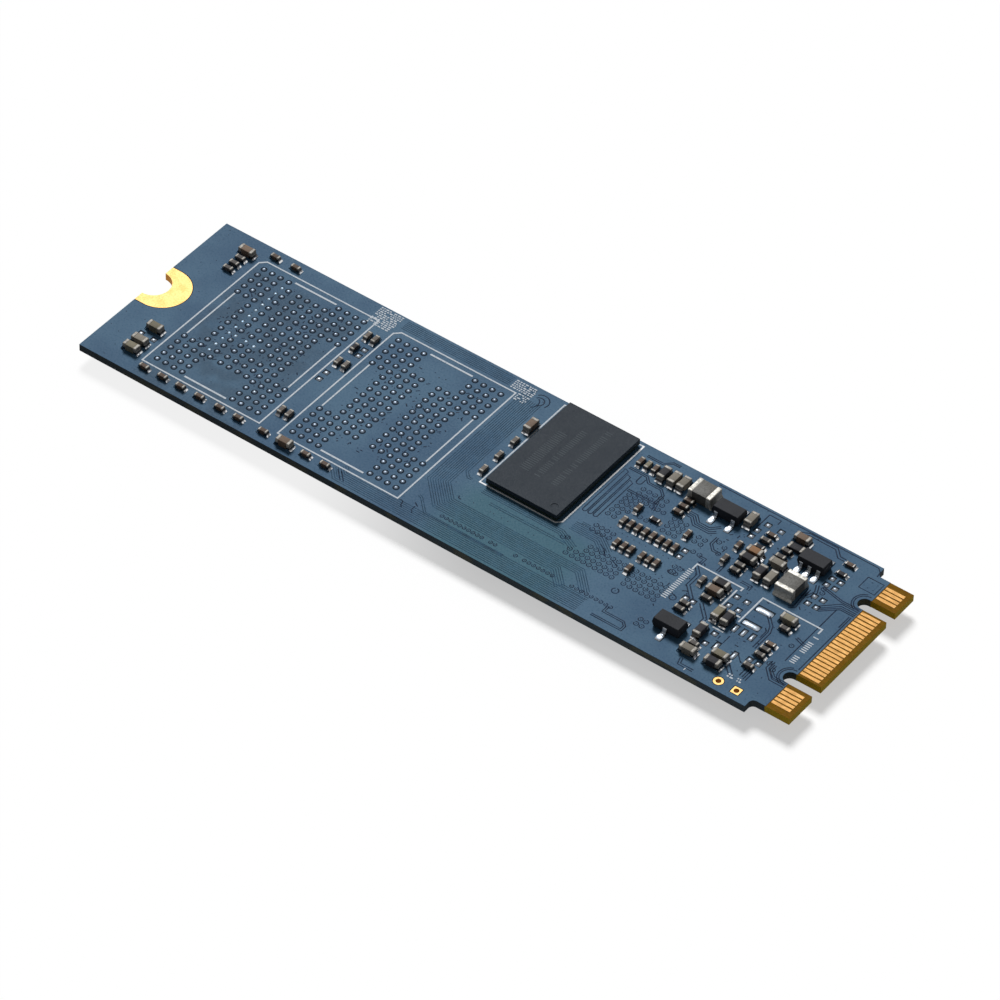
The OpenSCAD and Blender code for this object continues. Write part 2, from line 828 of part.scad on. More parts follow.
module underside_capacitor_bodies() {
    color([0.55, 0.42, 0.34]) under() chip_bodies(under_small, small);
}

module underside_capacitor_ends() {
    color("lightgray") under() chip_ends(under_small, small);
}

board_core();
top_solder_mask();
bottom_solder_mask();
contact_fingers_top();
contact_fingers_bottom();
screw_notch_plating();
flash_site_1_bumps();
flash_site_2_bumps();
flash_site_outlines();
memory_outline();
bracket_marks();
memory_mould();
memory_substrate();
memory_balls();
controller_mould();
controller_substrate();
controller_balls();
flash_1_mould();
flash_1_substrate();
flash_1_balls();
flash_2_mould();
flash_2_substrate();
flash_2_balls();
inductor_bodies();
inductor_terminals();
five_lead_chip_body();
five_lead_chip_leads();
six_lead_chip_body();
six_lead_chip_leads();
three_lead_chip_body();
three_lead_chip_leads();
screw_end_capacitor_bodies();
screw_end_capacitor_ends();
long_edge_capacitor_bodies();
long_edge_capacitor_ends();
middle_capacitor_bodies();
middle_capacitor_ends();
memory_capacitor_bodies();
memory_capacitor_ends();
far_row_capacitor_bodies();
far_row_capacitor_ends();
core_capacitor_bodies();
core_capacitor_ends();
supply_capacitor_bodies();
supply_capacitor_ends();
ferrite_bodies();
ferrite_ends();
resistor_bodies();
resistor_ends();
bare_chip_pads();
bare_site_pads();
test_pads();
crystal_can();
crystal_base();
underside_capacitor_bodies();
underside_capacitor_ends();
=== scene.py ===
"""Looks of a gumstick solid state drive: a bare card with its chips, solder, gold and print."""

import math
import random
from contextlib import contextmanager

import bmesh
import bpy
import numpy as np
from mathutils import Matrix, Vector


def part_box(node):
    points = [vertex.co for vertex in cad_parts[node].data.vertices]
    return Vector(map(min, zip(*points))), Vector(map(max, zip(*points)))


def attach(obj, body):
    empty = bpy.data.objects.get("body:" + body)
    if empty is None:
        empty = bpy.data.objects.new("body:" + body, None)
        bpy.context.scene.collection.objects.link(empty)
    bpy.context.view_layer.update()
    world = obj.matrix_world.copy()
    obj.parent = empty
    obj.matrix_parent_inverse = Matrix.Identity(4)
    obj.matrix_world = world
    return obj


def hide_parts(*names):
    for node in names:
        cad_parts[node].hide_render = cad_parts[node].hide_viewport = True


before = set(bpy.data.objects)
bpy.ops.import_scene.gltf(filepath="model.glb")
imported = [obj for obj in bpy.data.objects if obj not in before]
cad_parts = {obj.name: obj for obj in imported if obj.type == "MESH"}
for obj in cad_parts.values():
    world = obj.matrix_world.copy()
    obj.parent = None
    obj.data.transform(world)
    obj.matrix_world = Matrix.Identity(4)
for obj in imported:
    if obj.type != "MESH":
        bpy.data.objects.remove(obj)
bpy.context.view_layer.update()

MM = 0.001
BODY = "root"

# Heights in mm, read from the frame
CARD_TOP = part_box("top_solder_mask")[1].z / MM
CARD_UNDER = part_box("bottom_solder_mask")[0].z / MM
CARD_MIDDLE = (CARD_TOP + CARD_UNDER) / 2
CORE_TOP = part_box("board_core")[1].z / MM
MASK_END_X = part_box("top_solder_mask")[1].x / MM
MEMORY_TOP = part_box("memory_mould")[1].z / MM

# Camera: it aims at a point on the card's top face; lengths in mm, angles in degrees
AIM = Vector((3.468, -3.405, CARD_TOP))
AZIMUTH = 35.227
ELEVATION = 43.767
ROLL = 2.211
DISTANCE = 512.81
SENSOR = 36.0
LENS = 202.59

# Light: angles in degrees; the floor lies FLOOR_GAP mm under the part and is FLOOR_SPAN m wide
LAMP_DIRECTION = Vector((-0.56, 0.65, 1.0))
LAMP_ANGLE = 20.0
FLOOR_GAP = 0.01
LAMP_STRENGTH = 3.65
AMBIENT = 0.12
FLOOR_SPAN = 8
WHITE = (1, 1, 1, 1)
FLOOR_GREY = 0.5
SEEN_RAYS = ("Is Camera Ray", "Is Glossy Ray", "Is Transmission Ray")

# Painted light on the floor: the floor's shadow fades to this share of itself over this stretch of X,
# towards the screw end
FAINT_SHADOW = 0.3
FADE_FROM = 8
FADE_TO = -16

# Chips: the metal end's width for each (length, height) in mm, and how far the ceramic stands back;
# the solder's reach in mm and its rise as a share of the chip's height
END_WIDTHS = {(1.0, 0.5): 0.25, (1.6, 0.8): 0.35, (1.0, 0.35): 0.22, (1.6, 0.45): 0.3, (2.5, 1.2): 0.5}
END_T = 0.03
FILLET_L = 0.22
FILLET_RISE = 0.72

# Solder dome as modelled, in mm, before it takes the size of its land, and how much the small ones swell
DOME_R = 0.275
DOME_H = 0.165
SMALL_SWELL = 1.4

# Line widths under the mask and heights over it, in mm
GAP_W = 0.12
FINE_GAP_W = 0.085
GAP_RISE = 0.006
VIA_R = 0.23
VIA_LINE = 0.095
VIA_DOT_R = 0.055
STREWN_DOT_R = 0.065
ROW_VIA_Y = -8.35
ROW_VIA_R = 0.18

# Print and laser marks: thickness, rows, strokes and the gaps between them in mm, and the share left out
PRINT_T = 0.016
PRINT_ROW = 0.26
PRINT_STROKE = 0.15
PRINT_LENGTHS = (0.13, 0.2, 0.34)
PRINT_GAP = 0.1
RUNG_W = 0.13
RUNG_PITCH = 0.27
MARK_T = 0.006
MARK_SINK = 0.002
LEFT_OUT = 0.12

# Glazes of the ceramic chips, linear colours
GLAZES = {
    "brown": (0.160, 0.115, 0.086),
    "umber": (0.092, 0.067, 0.053),
    "dun": (0.130, 0.113, 0.099),
    "beige": (0.190, 0.174, 0.146),
    "olive": (0.180, 0.163, 0.117),
    "orange": (0.235, 0.128, 0.066),
    "grey": (0.086, 0.080, 0.076),
    "black": (0.023, 0.023, 0.027),
}

# Places in mm of the chips whose glaze differs from their group's
ODD_GLAZES = {
    "beige": [(14.6, 8.37), (15.65, 8.37), (23.2, 8.37), (28.33, 5.12), (28.88, 3.25), (28.25, -8.72),
        (-35.65, -7.35)],
    "brown": [(28.3, 9.2), (25.82, -1.24), (0.03, 5.98), (-16.4, -9.92), (-35.65, 8.7), (33.55, -3.45)],
    "olive": [(33.2, -0.12), (30.92, -7.58), (27.75, -3.35), (-35.65, -5.1), (-35.65, -8.6),
        (11.55, 8.5)],
    "orange": [(25.85, 5.08)],
    "umber": [(33.45, 9.3), (25.67, 8.09), (24.1, 5.05)],
    "dun": [(14.05, 1.18)],
}


# Shader building

class Value:
    """A shader socket whose sums, differences and products add Math nodes."""

    def __init__(self, finish, socket):
        self.finish = finish
        self.socket = socket

    def math(self, operation, a, b):
        return self.finish.node("ShaderNodeMath", {"operation": operation}, {0: a, 1: b})

    def __add__(self, other):
        return self.math("ADD", self, other)

    def __sub__(self, other):
        return self.math("SUBTRACT", self, other)

    def __mul__(self, other):
        return self.math("MULTIPLY", self, other)

    def __rsub__(self, other):
        return self.math("SUBTRACT", other, self)

    __radd__ = __add__
    __rmul__ = __mul__


class Finish:
    """One material in the making."""

    def __init__(self, name, tree_owner=None):
        self.owner = tree_owner or bpy.data.materials.new(name)
        self.owner.use_nodes = True
        self.tree = self.owner.node_tree
        self.tree.nodes.clear()

    def node(self, kind, settings=None, inputs=None, output=0):
        """Adds a node: its settings first, then the values or links of its sockets."""
        made = self.tree.nodes.new(kind)
        for key, setting in (settings or {}).items():
            setattr(made, key, setting)
        for key, given in (inputs or {}).items():
            if isinstance(given, Value):
                self.tree.links.new(given.socket, made.inputs[key])
            else:
                made.inputs[key].default_value = given
        return Value(self, made.outputs[output]) if len(made.outputs) else made

    def place(self):
        """Object coordinates in mm."""
        here = self.node("ShaderNodeTexCoord", output="Object")
        return self.node("ShaderNodeVectorMath", {"operation": "SCALE"}, {0: here, "Scale": 1 / MM})

    def axes(self, place):
        """The x, y and z of a place, one by one."""
        return [self.node("ShaderNodeSeparateXYZ", None, {0: place}, k) for k in range(3)]

    def stretched(self, place, factors):
        return self.node("ShaderNodeVectorMath", {"operation": "MULTIPLY"}, {0: place, 1: factors})

    def noise(self, place, scale, detail=2.0, roughness=0.5):
        settings = {"Vector": place, "Scale": scale, "Detail": detail, "Roughness": roughness}
        return self.node("ShaderNodeTexNoise", None, settings)

    def larger(self, a, b):
        return self.node("ShaderNodeMath", {"operation": "MAXIMUM"}, {0: a, 1: b})

    def seen(self):
        """1 for rays from the camera, off gloss and through clear things, otherwise 0."""
        paths = [self.node("ShaderNodeLightPath", output=k) for k in SEEN_RAYS]
        return self.larger(self.larger(paths[0], paths[1]), paths[2])

    def between(self, value, low, high, to_low=0.0, to_high=1.0):
        """value taken from low..high to to_low..to_high, with soft ends."""
        limits = {0: value, 1: low, 2: high, 3: to_low, 4: to_high}
        return self.node("ShaderNodeMapRange", {"interpolation_type": "SMOOTHSTEP"}, limits)

    def mix(self, a, b, factor, blend="MIX"):
        """Colour a, turning to b as factor goes to 1."""
        settings = {"data_type": "RGBA", "blend_type": blend}
        return self.node("ShaderNodeMix", settings, {0: factor, 6: colour(a), 7: colour(b)}, 2)

    def bump(self, height, depth_mm, strength=1.0):
        """Relief from a height of 0 to 1 that stands for depth_mm."""
        return self.node(
            "ShaderNodeBump", None, {"Height": height, "Distance": depth_mm * MM, "Strength": strength}
        )

    def surface(self, tone, **sockets):
        """Principled shader in this base colour, with these sockets, words joined by _."""
        named = {key.replace("_", " ").title().replace("Ior", "IOR"): s for key, s in sockets.items()}
        named["Base Color"] = colour(tone)
        shader = self.node("ShaderNodeBsdfPrincipled", None, named)
        self.node("ShaderNodeOutputMaterial", None, {"Surface": shader})
        return self.owner


def colour(value):
    return value if isinstance(value, Value) else (*value, 1.0)


# Finishes

def started(name):
    """A new material, and the place on the object in mm."""
    m = Finish(name)
    return m, m.place()


def mask_finish():
    """Blue solder mask: cloudy, greener where traces crowd, duller in the first site, a little woven."""
    m, place = started("blue_solder_mask")
    x, y, _ = m.axes(place)
    cloud = m.between(m.noise(place, 0.16, 3.0), 0.35, 0.65)
    blue = m.mix((0.029, 0.078, 0.142), (0.047, 0.108, 0.176), cloud)
    crowded = m.between(x, -2.0, 2.5) * m.between(x, 17.0, 12.0) * m.between(y, -1.5, -4.5)
    teal = m.mix(blue, (0.024, 0.094, 0.126), crowded * 0.75)
    first_site = m.between(x, -20.5, -21.5) * m.between(x, -34.5, -33.0) * m.between(y, 8.5, 7.0)
    patches = m.between(m.noise(place, 0.45, 2.0), 0.35, 0.6) * 0.55 + 0.2
    dull = m.mix(teal, (0.021, 0.054, 0.094), first_site * patches)
    grain = m.noise(place, 5.5, 3.0, 0.65)
    speckled = m.mix(dull, (0.014, 0.034, 0.066), m.between(grain, 0.54, 0.76) * 0.6)
    warp = m.noise(m.stretched(place, (1.0, 4.0, 1.0)), 1.3, 2.0)
    weft = m.noise(m.stretched(place, (4.0, 1.0, 1.0)), 1.3, 2.0)
    relief = (warp + weft) * 0.5 + grain * 0.5
    return m.surface(
        speckled, roughness=m.between(grain, 0.3, 0.7, 0.52, 0.64),
        specular_ior_level=0.1, normal=m.bump(relief, 0.006, 0.5),
    )


def gap_shade_finish(name, dark):
    """Mask that dips between copper areas, painted dark as the shade in the dip."""
    m, place = started(name)
    tone = m.mix(dark, tuple(c * 1.8 for c in dark), m.between(m.noise(place, 1.1, 2.0), 0.4, 0.7))
    rough = m.between(m.noise(place, 3.0), 0.3, 0.7, 0.5, 0.65)
    return m.surface(tone, roughness=rough, specular_ior_level=0.06)


def laminate_finish():
    """Glass laminate: gold-brown on the bare tongue, its sawn end painted brighter as painted light,
    nearly black with painted shade in mask openings, and dark along the routed edge.
    """
    m, place = started("glass_laminate")
    x, _, z = m.axes(place)
    fibres = m.noise(m.stretched(place, (3.0, 3.0, 30.0)), 1.6, 3.0, 0.6)
    patches = m.between(m.noise(m.stretched(place, (0.35, 0.35, 1.0)), 1.0, 2.0), 0.5, 0.62)
    dark_edge = m.mix((0.038, 0.052, 0.064), (0.066, 0.078, 0.080), m.between(fibres, 0.45, 0.7))
    edge = m.mix(dark_edge, (0.105, 0.104, 0.074), patches * m.between(fibres, 0.35, 0.6))
    # Nearly black navy where the core shows in mask openings: painted shade in the openings round the
    # domes.
    face = m.mix((0.006, 0.012, 0.022), (0.012, 0.020, 0.030), fibres)
    on_face = m.between(z, CORE_TOP - 0.02, CORE_TOP - 0.005)
    covered = m.mix(edge, face, on_face)
    weave = m.noise(m.stretched(place, (1.0, 6.0, 1.0)), 2.2, 2.0)
    bare_face = m.mix((0.128, 0.058, 0.000), (0.172, 0.084, 0.001), m.between(weave, 0.3, 0.7))
    # The bare laminate's sawn end is its gold-olive tone painted much brighter than the bare face:
    # painted light through the laminate.
    bare_edge_painted_light = m.mix((0.340, 0.225, 0.014), (0.450, 0.310, 0.024), fibres)
    bare = m.mix(bare_edge_painted_light, bare_face, on_face)
    tongue = m.between(x, MASK_END_X - 0.15, MASK_END_X - 0.05)
    return m.surface(
        m.mix(covered, bare, tongue), roughness=m.between(fibres, 0.2, 0.8, 0.55, 0.75),
        specular_ior_level=0.04, normal=m.bump(fibres, 0.02, 0.5),
    )


def contact_gold_finish():
    """Hard gold on the contacts, brushed along X by the socket's springs."""
    m, place = started("contact_gold")
    streaks = m.noise(m.stretched(place, (0.5, 14.0, 1.0)), 2.0, 3.0, 0.6)
    patches = m.noise(place, 1.4, 2.0)
    gold = m.mix((0.36, 0.198, 0.062), (0.245, 0.124, 0.033), m.between(streaks, 0.45, 0.75))
    warm = m.mix(gold, (0.43, 0.260, 0.095), m.between(patches, 0.5, 0.7) * 0.5)
    return m.surface(
        warm, metallic=0.85, roughness=m.between(streaks, 0.3, 0.7, 0.6, 0.75),
        normal=m.bump(streaks, 0.006, 0.5),
    )


def land_gold_finish():
    """Thin pale gold on the lands, a little grainy, browner down the plated wall."""
    m, place = started("land_gold")
    _, _, z = m.axes(place)
    grain = m.noise(place, 7.0, 3.0, 0.6)
    cloud = m.noise(place, 0.9, 2.0)
    gold = m.mix((0.60, 0.405, 0.155), (0.53, 0.345, 0.115), m.between(cloud, 0.4, 0.7))
    depth = m.between(z, CARD_TOP - 0.03, CARD_TOP - 0.08)
    wall = depth * m.between(z, CARD_UNDER + 0.03, CARD_UNDER + 0.08)
    aged = m.mix(gold, (0.50, 0.225, 0.030), wall)
    return m.surface(
        aged, metallic=0.8, roughness=m.between(grain, 0.3, 0.7, 0.62, 0.74),
        normal=m.bump(grain, 0.008, 0.4),
    )


def ink_finish():
    """White print, thin enough for the blue to show through in places, and painted lighter beside the
    memory where its shadow falls.
    """
    m, place = started("white_print")
    thin = m.between(m.noise(place, 4.5, 3.0, 0.7), 0.45, 0.75)
    tone = m.mix((0.50, 0.54, 0.58), (0.30, 0.35, 0.41), thin)
    x, y, _ = m.axes(place)
    # The outline along the memory's near and right sides is painted brighter: painted light where the
    # memory's shadow falls on it.
    near = m.larger(m.between(y, -2.4, -2.55), m.between(x, 9.4, 9.5))
    painted_light_beside_memory = m.between(x, 0.4, 0.5) * m.between(x, 10.5, 10.0) * near
    tone = m.mix(tone, (0.86, 0.88, 0.90), painted_light_beside_memory)
    rough = m.between(thin, 0.0, 1.0, 0.7, 0.6)
    return m.surface(tone, roughness=rough, specular_ior_level=0.1)


def mould_finish(name, dark, light):
    """Filled epoxy with a fine pitted skin."""
    m, place = started(name)
    pits = m.noise(place, 11.0, 3.0, 0.7)
    cloud = m.noise(place, 0.35, 2.0)
    tone = m.mix(dark, light, m.between(cloud, 0.35, 0.65) * 0.5 + m.between(pits, 0.5, 0.8) * 0.5)
    return m.surface(
        tone, roughness=m.between(pits, 0.3, 0.7, 0.55, 0.7),
        specular_ior_level=0.11, normal=m.bump(pits, 0.012, 0.6),
    )


def etch_finish():
    """Marks burnt into the mould by a laser, paler than its skin."""
    m, place = started("laser_marks")
    fade = m.between(m.noise(place, 2.2, 3.0, 0.7), 0.35, 0.65)
    tone = m.mix((0.066, 0.078, 0.088), (0.036, 0.046, 0.056), fade)
    rough = m.between(fade, 0.0, 1.0, 0.8, 0.65)
    return m.surface(tone, roughness=rough, specular_ior_level=0.1)


def substrate_finish():
    """Thin carrier board of a package, seen at its sawn edge."""
    m, place = started("package_carrier")
    layers = m.noise(m.stretched(place, (2.0, 2.0, 24.0)), 1.5, 2.0)
    tone = m.mix((0.004, 0.009, 0.007), (0.018, 0.026, 0.013), m.between(layers, 0.45, 0.7))
    rough = m.between(layers, 0.2, 0.8, 0.5, 0.7)
    return m.surface(tone, roughness=rough, specular_ior_level=0.1)


def solder_finish(name, bright, dull, low, high):
    """Reflowed solder, its skin clouded in patches."""
    m, place = started(name)
    cloud = m.between(m.noise(place, 3.2, 3.0, 0.6), 0.4, 0.65)
    grain = m.noise(place, 16.0, 2.0)
    return m.surface(
        m.mix(bright, dull, cloud), metallic=1.0,
        roughness=m.between(cloud, 0.0, 1.0, low, high), normal=m.bump(grain, 0.006, 0.35),
    )


def dome_finish():
    """Solder domes of the bare sites: painted shade at the foot, lighter at the crown, the small ones
    pale.
    """
    m, place = started("site_solder")
    _, _, z = m.axes(place)
    cloud = m.between(m.noise(place, 3.2, 3.0, 0.6), 0.4, 0.65)
    crown = m.mix((0.140, 0.168, 0.205), (0.096, 0.118, 0.150), cloud)
    # Dark at the foot as painted shade, the flanks' dark reflection of the mask; lighter at the crown.
    tone = m.mix((0.020, 0.034, 0.056), crown, m.between(z, CORE_TOP + 0.05, CORE_TOP + 0.12))
    small = m.node("ShaderNodeAttribute", {"attribute_name": "glaze"}, None, "Fac")
    tone = m.mix(tone, m.mix((0.085, 0.125, 0.165), (0.17, 0.21, 0.25), cloud), small)
    grain = m.noise(place, 16.0, 2.0)
    return m.surface(
        tone, metallic=1.0, roughness=m.between(cloud, 0.0, 1.0, 0.4, 0.5),
        normal=m.bump(grain, 0.006, 0.35),
    )


def tin_finish():
    """Tinned chip ends: dark below as painted shade, with painted highlights at the foot, and matt and
    warm on top.
    """
    m, place = started("tinned_ends")
    _, _, z = m.axes(place)
    cloud = m.between(m.noise(place, 4.0, 3.0, 0.6), 0.4, 0.65)
    height = m.node("ShaderNodeMath", {"operation": "ABSOLUTE"}, {0: z - CARD_MIDDLE})
    top = m.between(height, 0.68, 0.82)
    foot = m.between(height, 0.60, 0.50)
    painted_glints = m.between(m.noise(place, 3.4, 2.0), 0.46, 0.54)
    # The sides are painted dark as painted shade, and the foot carries painted highlights in white
    # specks.
    side = m.mix((0.050, 0.050, 0.052), m.mix((0.150, 0.160, 0.175), (0.70, 0.71, 0.72), painted_glints), foot)
    matt = m.mix((0.150, 0.143, 0.130), (0.092, 0.087, 0.080), cloud)
    tone = m.mix(side, matt, top)
    grain = m.noise(place, 14.0, 2.0)
    return m.surface(
        tone, metallic=1.0, roughness=m.between(top, 0.0, 1.0, 0.22, 0.6),
        normal=m.bump(grain, 0.010, 0.45),
    )


def ceramic_finish():
    """Fired ceramic in the glaze that each chip carries."""
    m, place = started("chip_ceramic")
    glaze = m.node("ShaderNodeAttribute", {"attribute_name": "glaze"}, None, "Color")
    grain = m.noise(place, 9.0, 3.0, 0.65)
    tone = m.mix(glaze, (0.03, 0.025, 0.022), m.between(grain, 0.5, 0.8) * 0.35)
    return m.surface(
        tone, roughness=m.between(grain, 0.3, 0.7, 0.5, 0.65),
        specular_ior_level=0.07, normal=m.bump(grain, 0.010, 0.5),
    )


def coil_finish():
    """Pressed iron powder of the coils, fine and stony."""
    m, place = started("coil_powder")
    grain = m.noise(place, 8.0, 4.0, 0.7)
    tone = m.mix((0.080, 0.078, 0.070), (0.044, 0.043, 0.038), m.between(grain, 0.4, 0.7))
    return m.surface(
        tone, specular_ior_level=0.2, roughness=m.between(grain, 0.3, 0.7, 0.45, 0.6),
        normal=m.bump(grain, 0.015, 0.6),
    )


def can_finish():
    """Drawn and lapped metal lid of the crystal."""
    m, place = started("crystal_lid")
    drawn = m.noise(m.stretched(place, (0.8, 9.0, 1.0)), 2.0, 3.0)
    tone = m.mix((0.70, 0.66, 0.56), (0.52, 0.49, 0.42), m.between(drawn, 0.4, 0.7))
    return m.surface(tone, metallic=0.95, roughness=m.between(drawn, 0.3, 0.7, 0.25, 0.4))


def base_finish():
    """White ceramic dish under the crystal's lid."""
    m = Finish("crystal_dish")
    grain = m.noise(m.place(), 6.0, 3.0)
    tone = m.mix((0.62, 0.59, 0.52), (0.48, 0.45, 0.39), m.between(grain, 0.4, 0.7))
    return m.surface(tone, roughness=m.between(grain, 0.3, 0.7, 0.5, 0.65))


# Modelling helpers: templates are modelled in mm at the origin, and placed as metres

def deselect():
    if bpy.context.object and bpy.context.object.mode != "OBJECT":
        bpy.ops.object.mode_set(mode="OBJECT")
    bpy.ops.object.select_all(action="DESELECT")


def added(name, data):
    """A new object of the scene that holds this mesh, curve, lamp or camera."""
    thing = bpy.data.objects.new(name, data)
    bpy.context.scene.collection.objects.link(thing)
    return thing


def make_active(thing):
    deselect()
    bpy.context.view_layer.objects.active = thing
    thing.select_set(True)


@contextmanager
def editing(thing):
    """Edit mode on thing with nothing selected; gives its edit mesh."""
    make_active(thing)
    bpy.ops.object.mode_set(mode="EDIT")
    bpy.ops.mesh.select_mode(type="VERT")
    bpy.ops.mesh.select_all(action="DESELECT")
    yield bmesh.from_edit_mesh(thing.data)
    bpy.ops.object.mode_set(mode="OBJECT")


def take_all():
    bpy.ops.mesh.select_all(action="SELECT")


def pick(thing, kind, test):
    """Selects the faces, edges or verts that pass the test."""
    bpy.ops.mesh.select_all(action="DESELECT")
    bpy.ops.mesh.select_mode(type={"faces": "FACE", "edges": "EDGE", "verts": "VERT"}[kind])
    mesh = bmesh.from_edit_mesh(thing.data)
    for element in getattr(mesh, kind):
        if test(element):
            element.select_set(True)
    bmesh.update_edit_mesh(thing.data)


def resize(factors):
    """Sizes what is selected, from the origin."""
    bpy.ops.transform.resize(value=factors, center_override=(0, 0, 0))


def block(size, centre):
    """A cube brought to its size and place in edit mode."""
    deselect()
    bpy.ops.mesh.primitive_cube_add(size=1)
    made = bpy.context.object
    with editing(made):
        take_all()
        bpy.ops.transform.resize(value=size)
        bpy.ops.transform.translate(value=centre)
    return made


def soften(thing, test, width, segments=2, profile=0.5):
    """Bevels the edges that pass the test."""
    with editing(thing):
        pick(thing, "edges", test)
        bpy.ops.mesh.bevel(offset=width, segments=segments, profile=profile, affect="EDGES")


def smooth(thing, degrees=40):
    make_active(thing)
    bpy.ops.object.shade_smooth_by_angle(angle=math.radians(degrees))


def apply_modifier(thing, kind, **settings):
    make_active(thing)
    modifier = thing.modifiers.new(kind.title(), kind)
    for key, setting in settings.items():
        setattr(modifier, key, setting)
    bpy.ops.object.modifier_apply(modifier=modifier.name)


def joined(things):
    """Several objects as one."""
    make_active(things[0])
    for thing in things[1:]:
        thing.select_set(True)
    bpy.ops.object.join()
    return things[0]


def put(x, y, z, turn=0.0, flip=False, scale=(1, 1, 1)):
    """Matrix from a template in mm to its place in metres; flip hangs it from the card."""
    over = Matrix.Rotation(math.pi, 4, "X") if flip else Matrix.Identity(4)
    shaped = Matrix.Rotation(turn, 4, "Z") @ over @ Matrix.Diagonal((*scale, 1.0))
    return Matrix.Scale(MM, 4) @ Matrix.Translation((x, y, z)) @ shaped


def placed_copy(template, matrix, glaze=None):
    """A copy of a template with its own mesh, its place in the mesh."""
    mesh = template.data.copy()
    mesh.transform(matrix)
    if glaze:
        carried = mesh.attributes.new("glaze", "FLOAT_COLOR", "POINT")
        carried.data.foreach_set("color", [*glaze, 1.0] * len(mesh.vertices))
    return added("part", mesh)


def piece(name, parts, finish, replaced=()):
    """The parts as one finished piece of the object."""
    made = joined(parts)
    made.name = name
    made.data.name = name
    made.data.materials.clear()
    made.data.materials.append(finish)
    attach(made, BODY)
    if replaced:
        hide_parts(*replaced)
    return made


def retire(*templates):
    for template in templates:
        bpy.data.objects.remove(template)


# Reading places from the frame

def solids(node):
    """Boxes (low, high) in mm of the separate solids in a CAD node, ordered by place."""
    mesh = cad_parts[node].data
    points = np.empty(len(mesh.vertices) * 3, np.float32)
    mesh.vertices.foreach_get("co", points)
    points = points.reshape(-1, 3) / MM
    corners = np.empty(len(mesh.loops), np.int32)
    mesh.loops.foreach_get("vertex_index", corners)
    _, same = np.unique(np.round(points * 1e4).astype(np.int64), axis=0, return_inverse=True)
    same = same.reshape(-1)
    faces = same[corners.reshape(-1, 3)]
    label = np.arange(same.max() + 1)
    # Points that share a face take its lowest label, over and over until none changes
    while True:
        lowest = label[faces].min(axis=1)
        spread = label.copy()
        for k in range(3):
            np.minimum.at(spread, faces[:, k], lowest)
        if (spread == label).all():
            break
        label = spread
    _, solid = np.unique(label[same], return_inverse=True)
    solid = solid.reshape(-1)
    low = np.full((solid.max() + 1, 3), np.inf)
    high = -low
    np.minimum.at(low, solid, points)
    np.maximum.at(high, solid, points)
    boxes = [(Vector(a), Vector(b)) for a, b in zip(low, high)]
    return sorted(boxes, key=lambda box: (round(box[0].x, 2), round(box[0].y, 2)))


# Chip parts

def ceramic_template(length, width, height):
    """Ceramic brick with fired, rounded edges, its foot at END_T."""
    size = (length - 2 * END_T, width - 2 * END_T, height - 2 * END_T)
    brick = block(size, (0, 0, height / 2))
    soften(brick, lambda edge: True, 0.035, 2)
    smooth(brick)
    return brick


def end_template(length, width, height, end_width):
    """Both metal ends: a rounded cap, and solder drawn up its outer face in a hollow curve."""
    ends = []
    for side in (1, -1):
        cap = block((end_width, width, height), (side * (length - end_width) / 2, 0, height / 2))
        round_by = min(0.075, height * 0.16)
        soften(cap, lambda edge: True, round_by, 3)
        ends += [cap, fillet(side, length, width, height)]
    whole = joined(ends)
    smooth(whole)
    return whole


def fillet(side, length, width, height):
    """Solder at one end: hollow towards the air, wider at its foot than at its top."""
    rise = height * FILLET_RISE
    reach = FILLET_L + END_T
    wedge = block((1, 1, 1), (0, 0, 0.5))
    soften(wedge, lambda edge: all(v.co.x > 0.4 and v.co.z > 0.9 for v in edge.verts), 0.94, 5, 0.16)
    with editing(wedge):
        pick(wedge, "verts", lambda vert: vert.co.z > 0.5)
        resize((1, 0.86, 1))
        take_all()
        resize((reach, width * 1.02, rise))
        middle = length / 2 - END_T + reach / 2
        if side < 0:
            bpy.ops.transform.rotate(value=math.pi, orient_axis="Z", center_override=(0, 0, 0))
        bpy.ops.transform.translate(value=(side * middle, 0, 0))
    return wedge


def chips_in(node):
    """Chips of a node of ceramic bodies: x, y, foot height, turned, hung, and size."""
    found = []
    for low, high in solids(node):
        size = high - low
        hung = low.z < CARD_UNDER
        turned = size.y > size.x
        length, width = (size.y, size.x) if turned else (size.x, size.y)
        whole = tuple(round(v + 2 * END_T, 2) for v in (length, width, size.z))
        foot = high.z + END_T if hung else low.z - END_T
        found.append(((low.x + high.x) / 2, (low.y + high.y) / 2, foot, turned, hung, whole))
    return found


def glaze_at(x, y, usual, draw):
    """The chip's glaze, a little lighter or darker from chip to chip."""
    odd = (g for g, places in ODD_GLAZES.items() if any(math.dist((x, y), p) < 0.3 for p in places))
    shade = draw.uniform(0.82, 1.18)
    return [c * shade for c in GLAZES[next(odd, usual)]]


def chip_group(group, usual, finishes, templates, draw, nodes=None):
    """Dresses one group's ceramic bodies and metal ends."""
    bodies_node, ends_node = nodes or (group + "_bodies", group + "_ends")
    bodies, ends = [], []
    for x, y, foot, turned, hung, size in chips_in(bodies_node):
        if size not in templates:
            end_width = END_WIDTHS[(size[0], size[2])]
            templates[size] = (ceramic_template(*size), end_template(*size, end_width))
        turn = (math.pi / 2 if turned else 0.0) + math.radians(draw.uniform(-1.2, 1.2))
        matrix = put(x, y, foot, turn, hung)
        body, end = templates[size]
        bodies.append(placed_copy(body, matrix, glaze_at(x, y, usual, draw)))
        ends.append(placed_copy(end, matrix))
    piece(group + "_ceramic", bodies, finishes[0], [bodies_node])
    piece(group + "_metal", ends, finishes[1], [ends_node])


# Solder

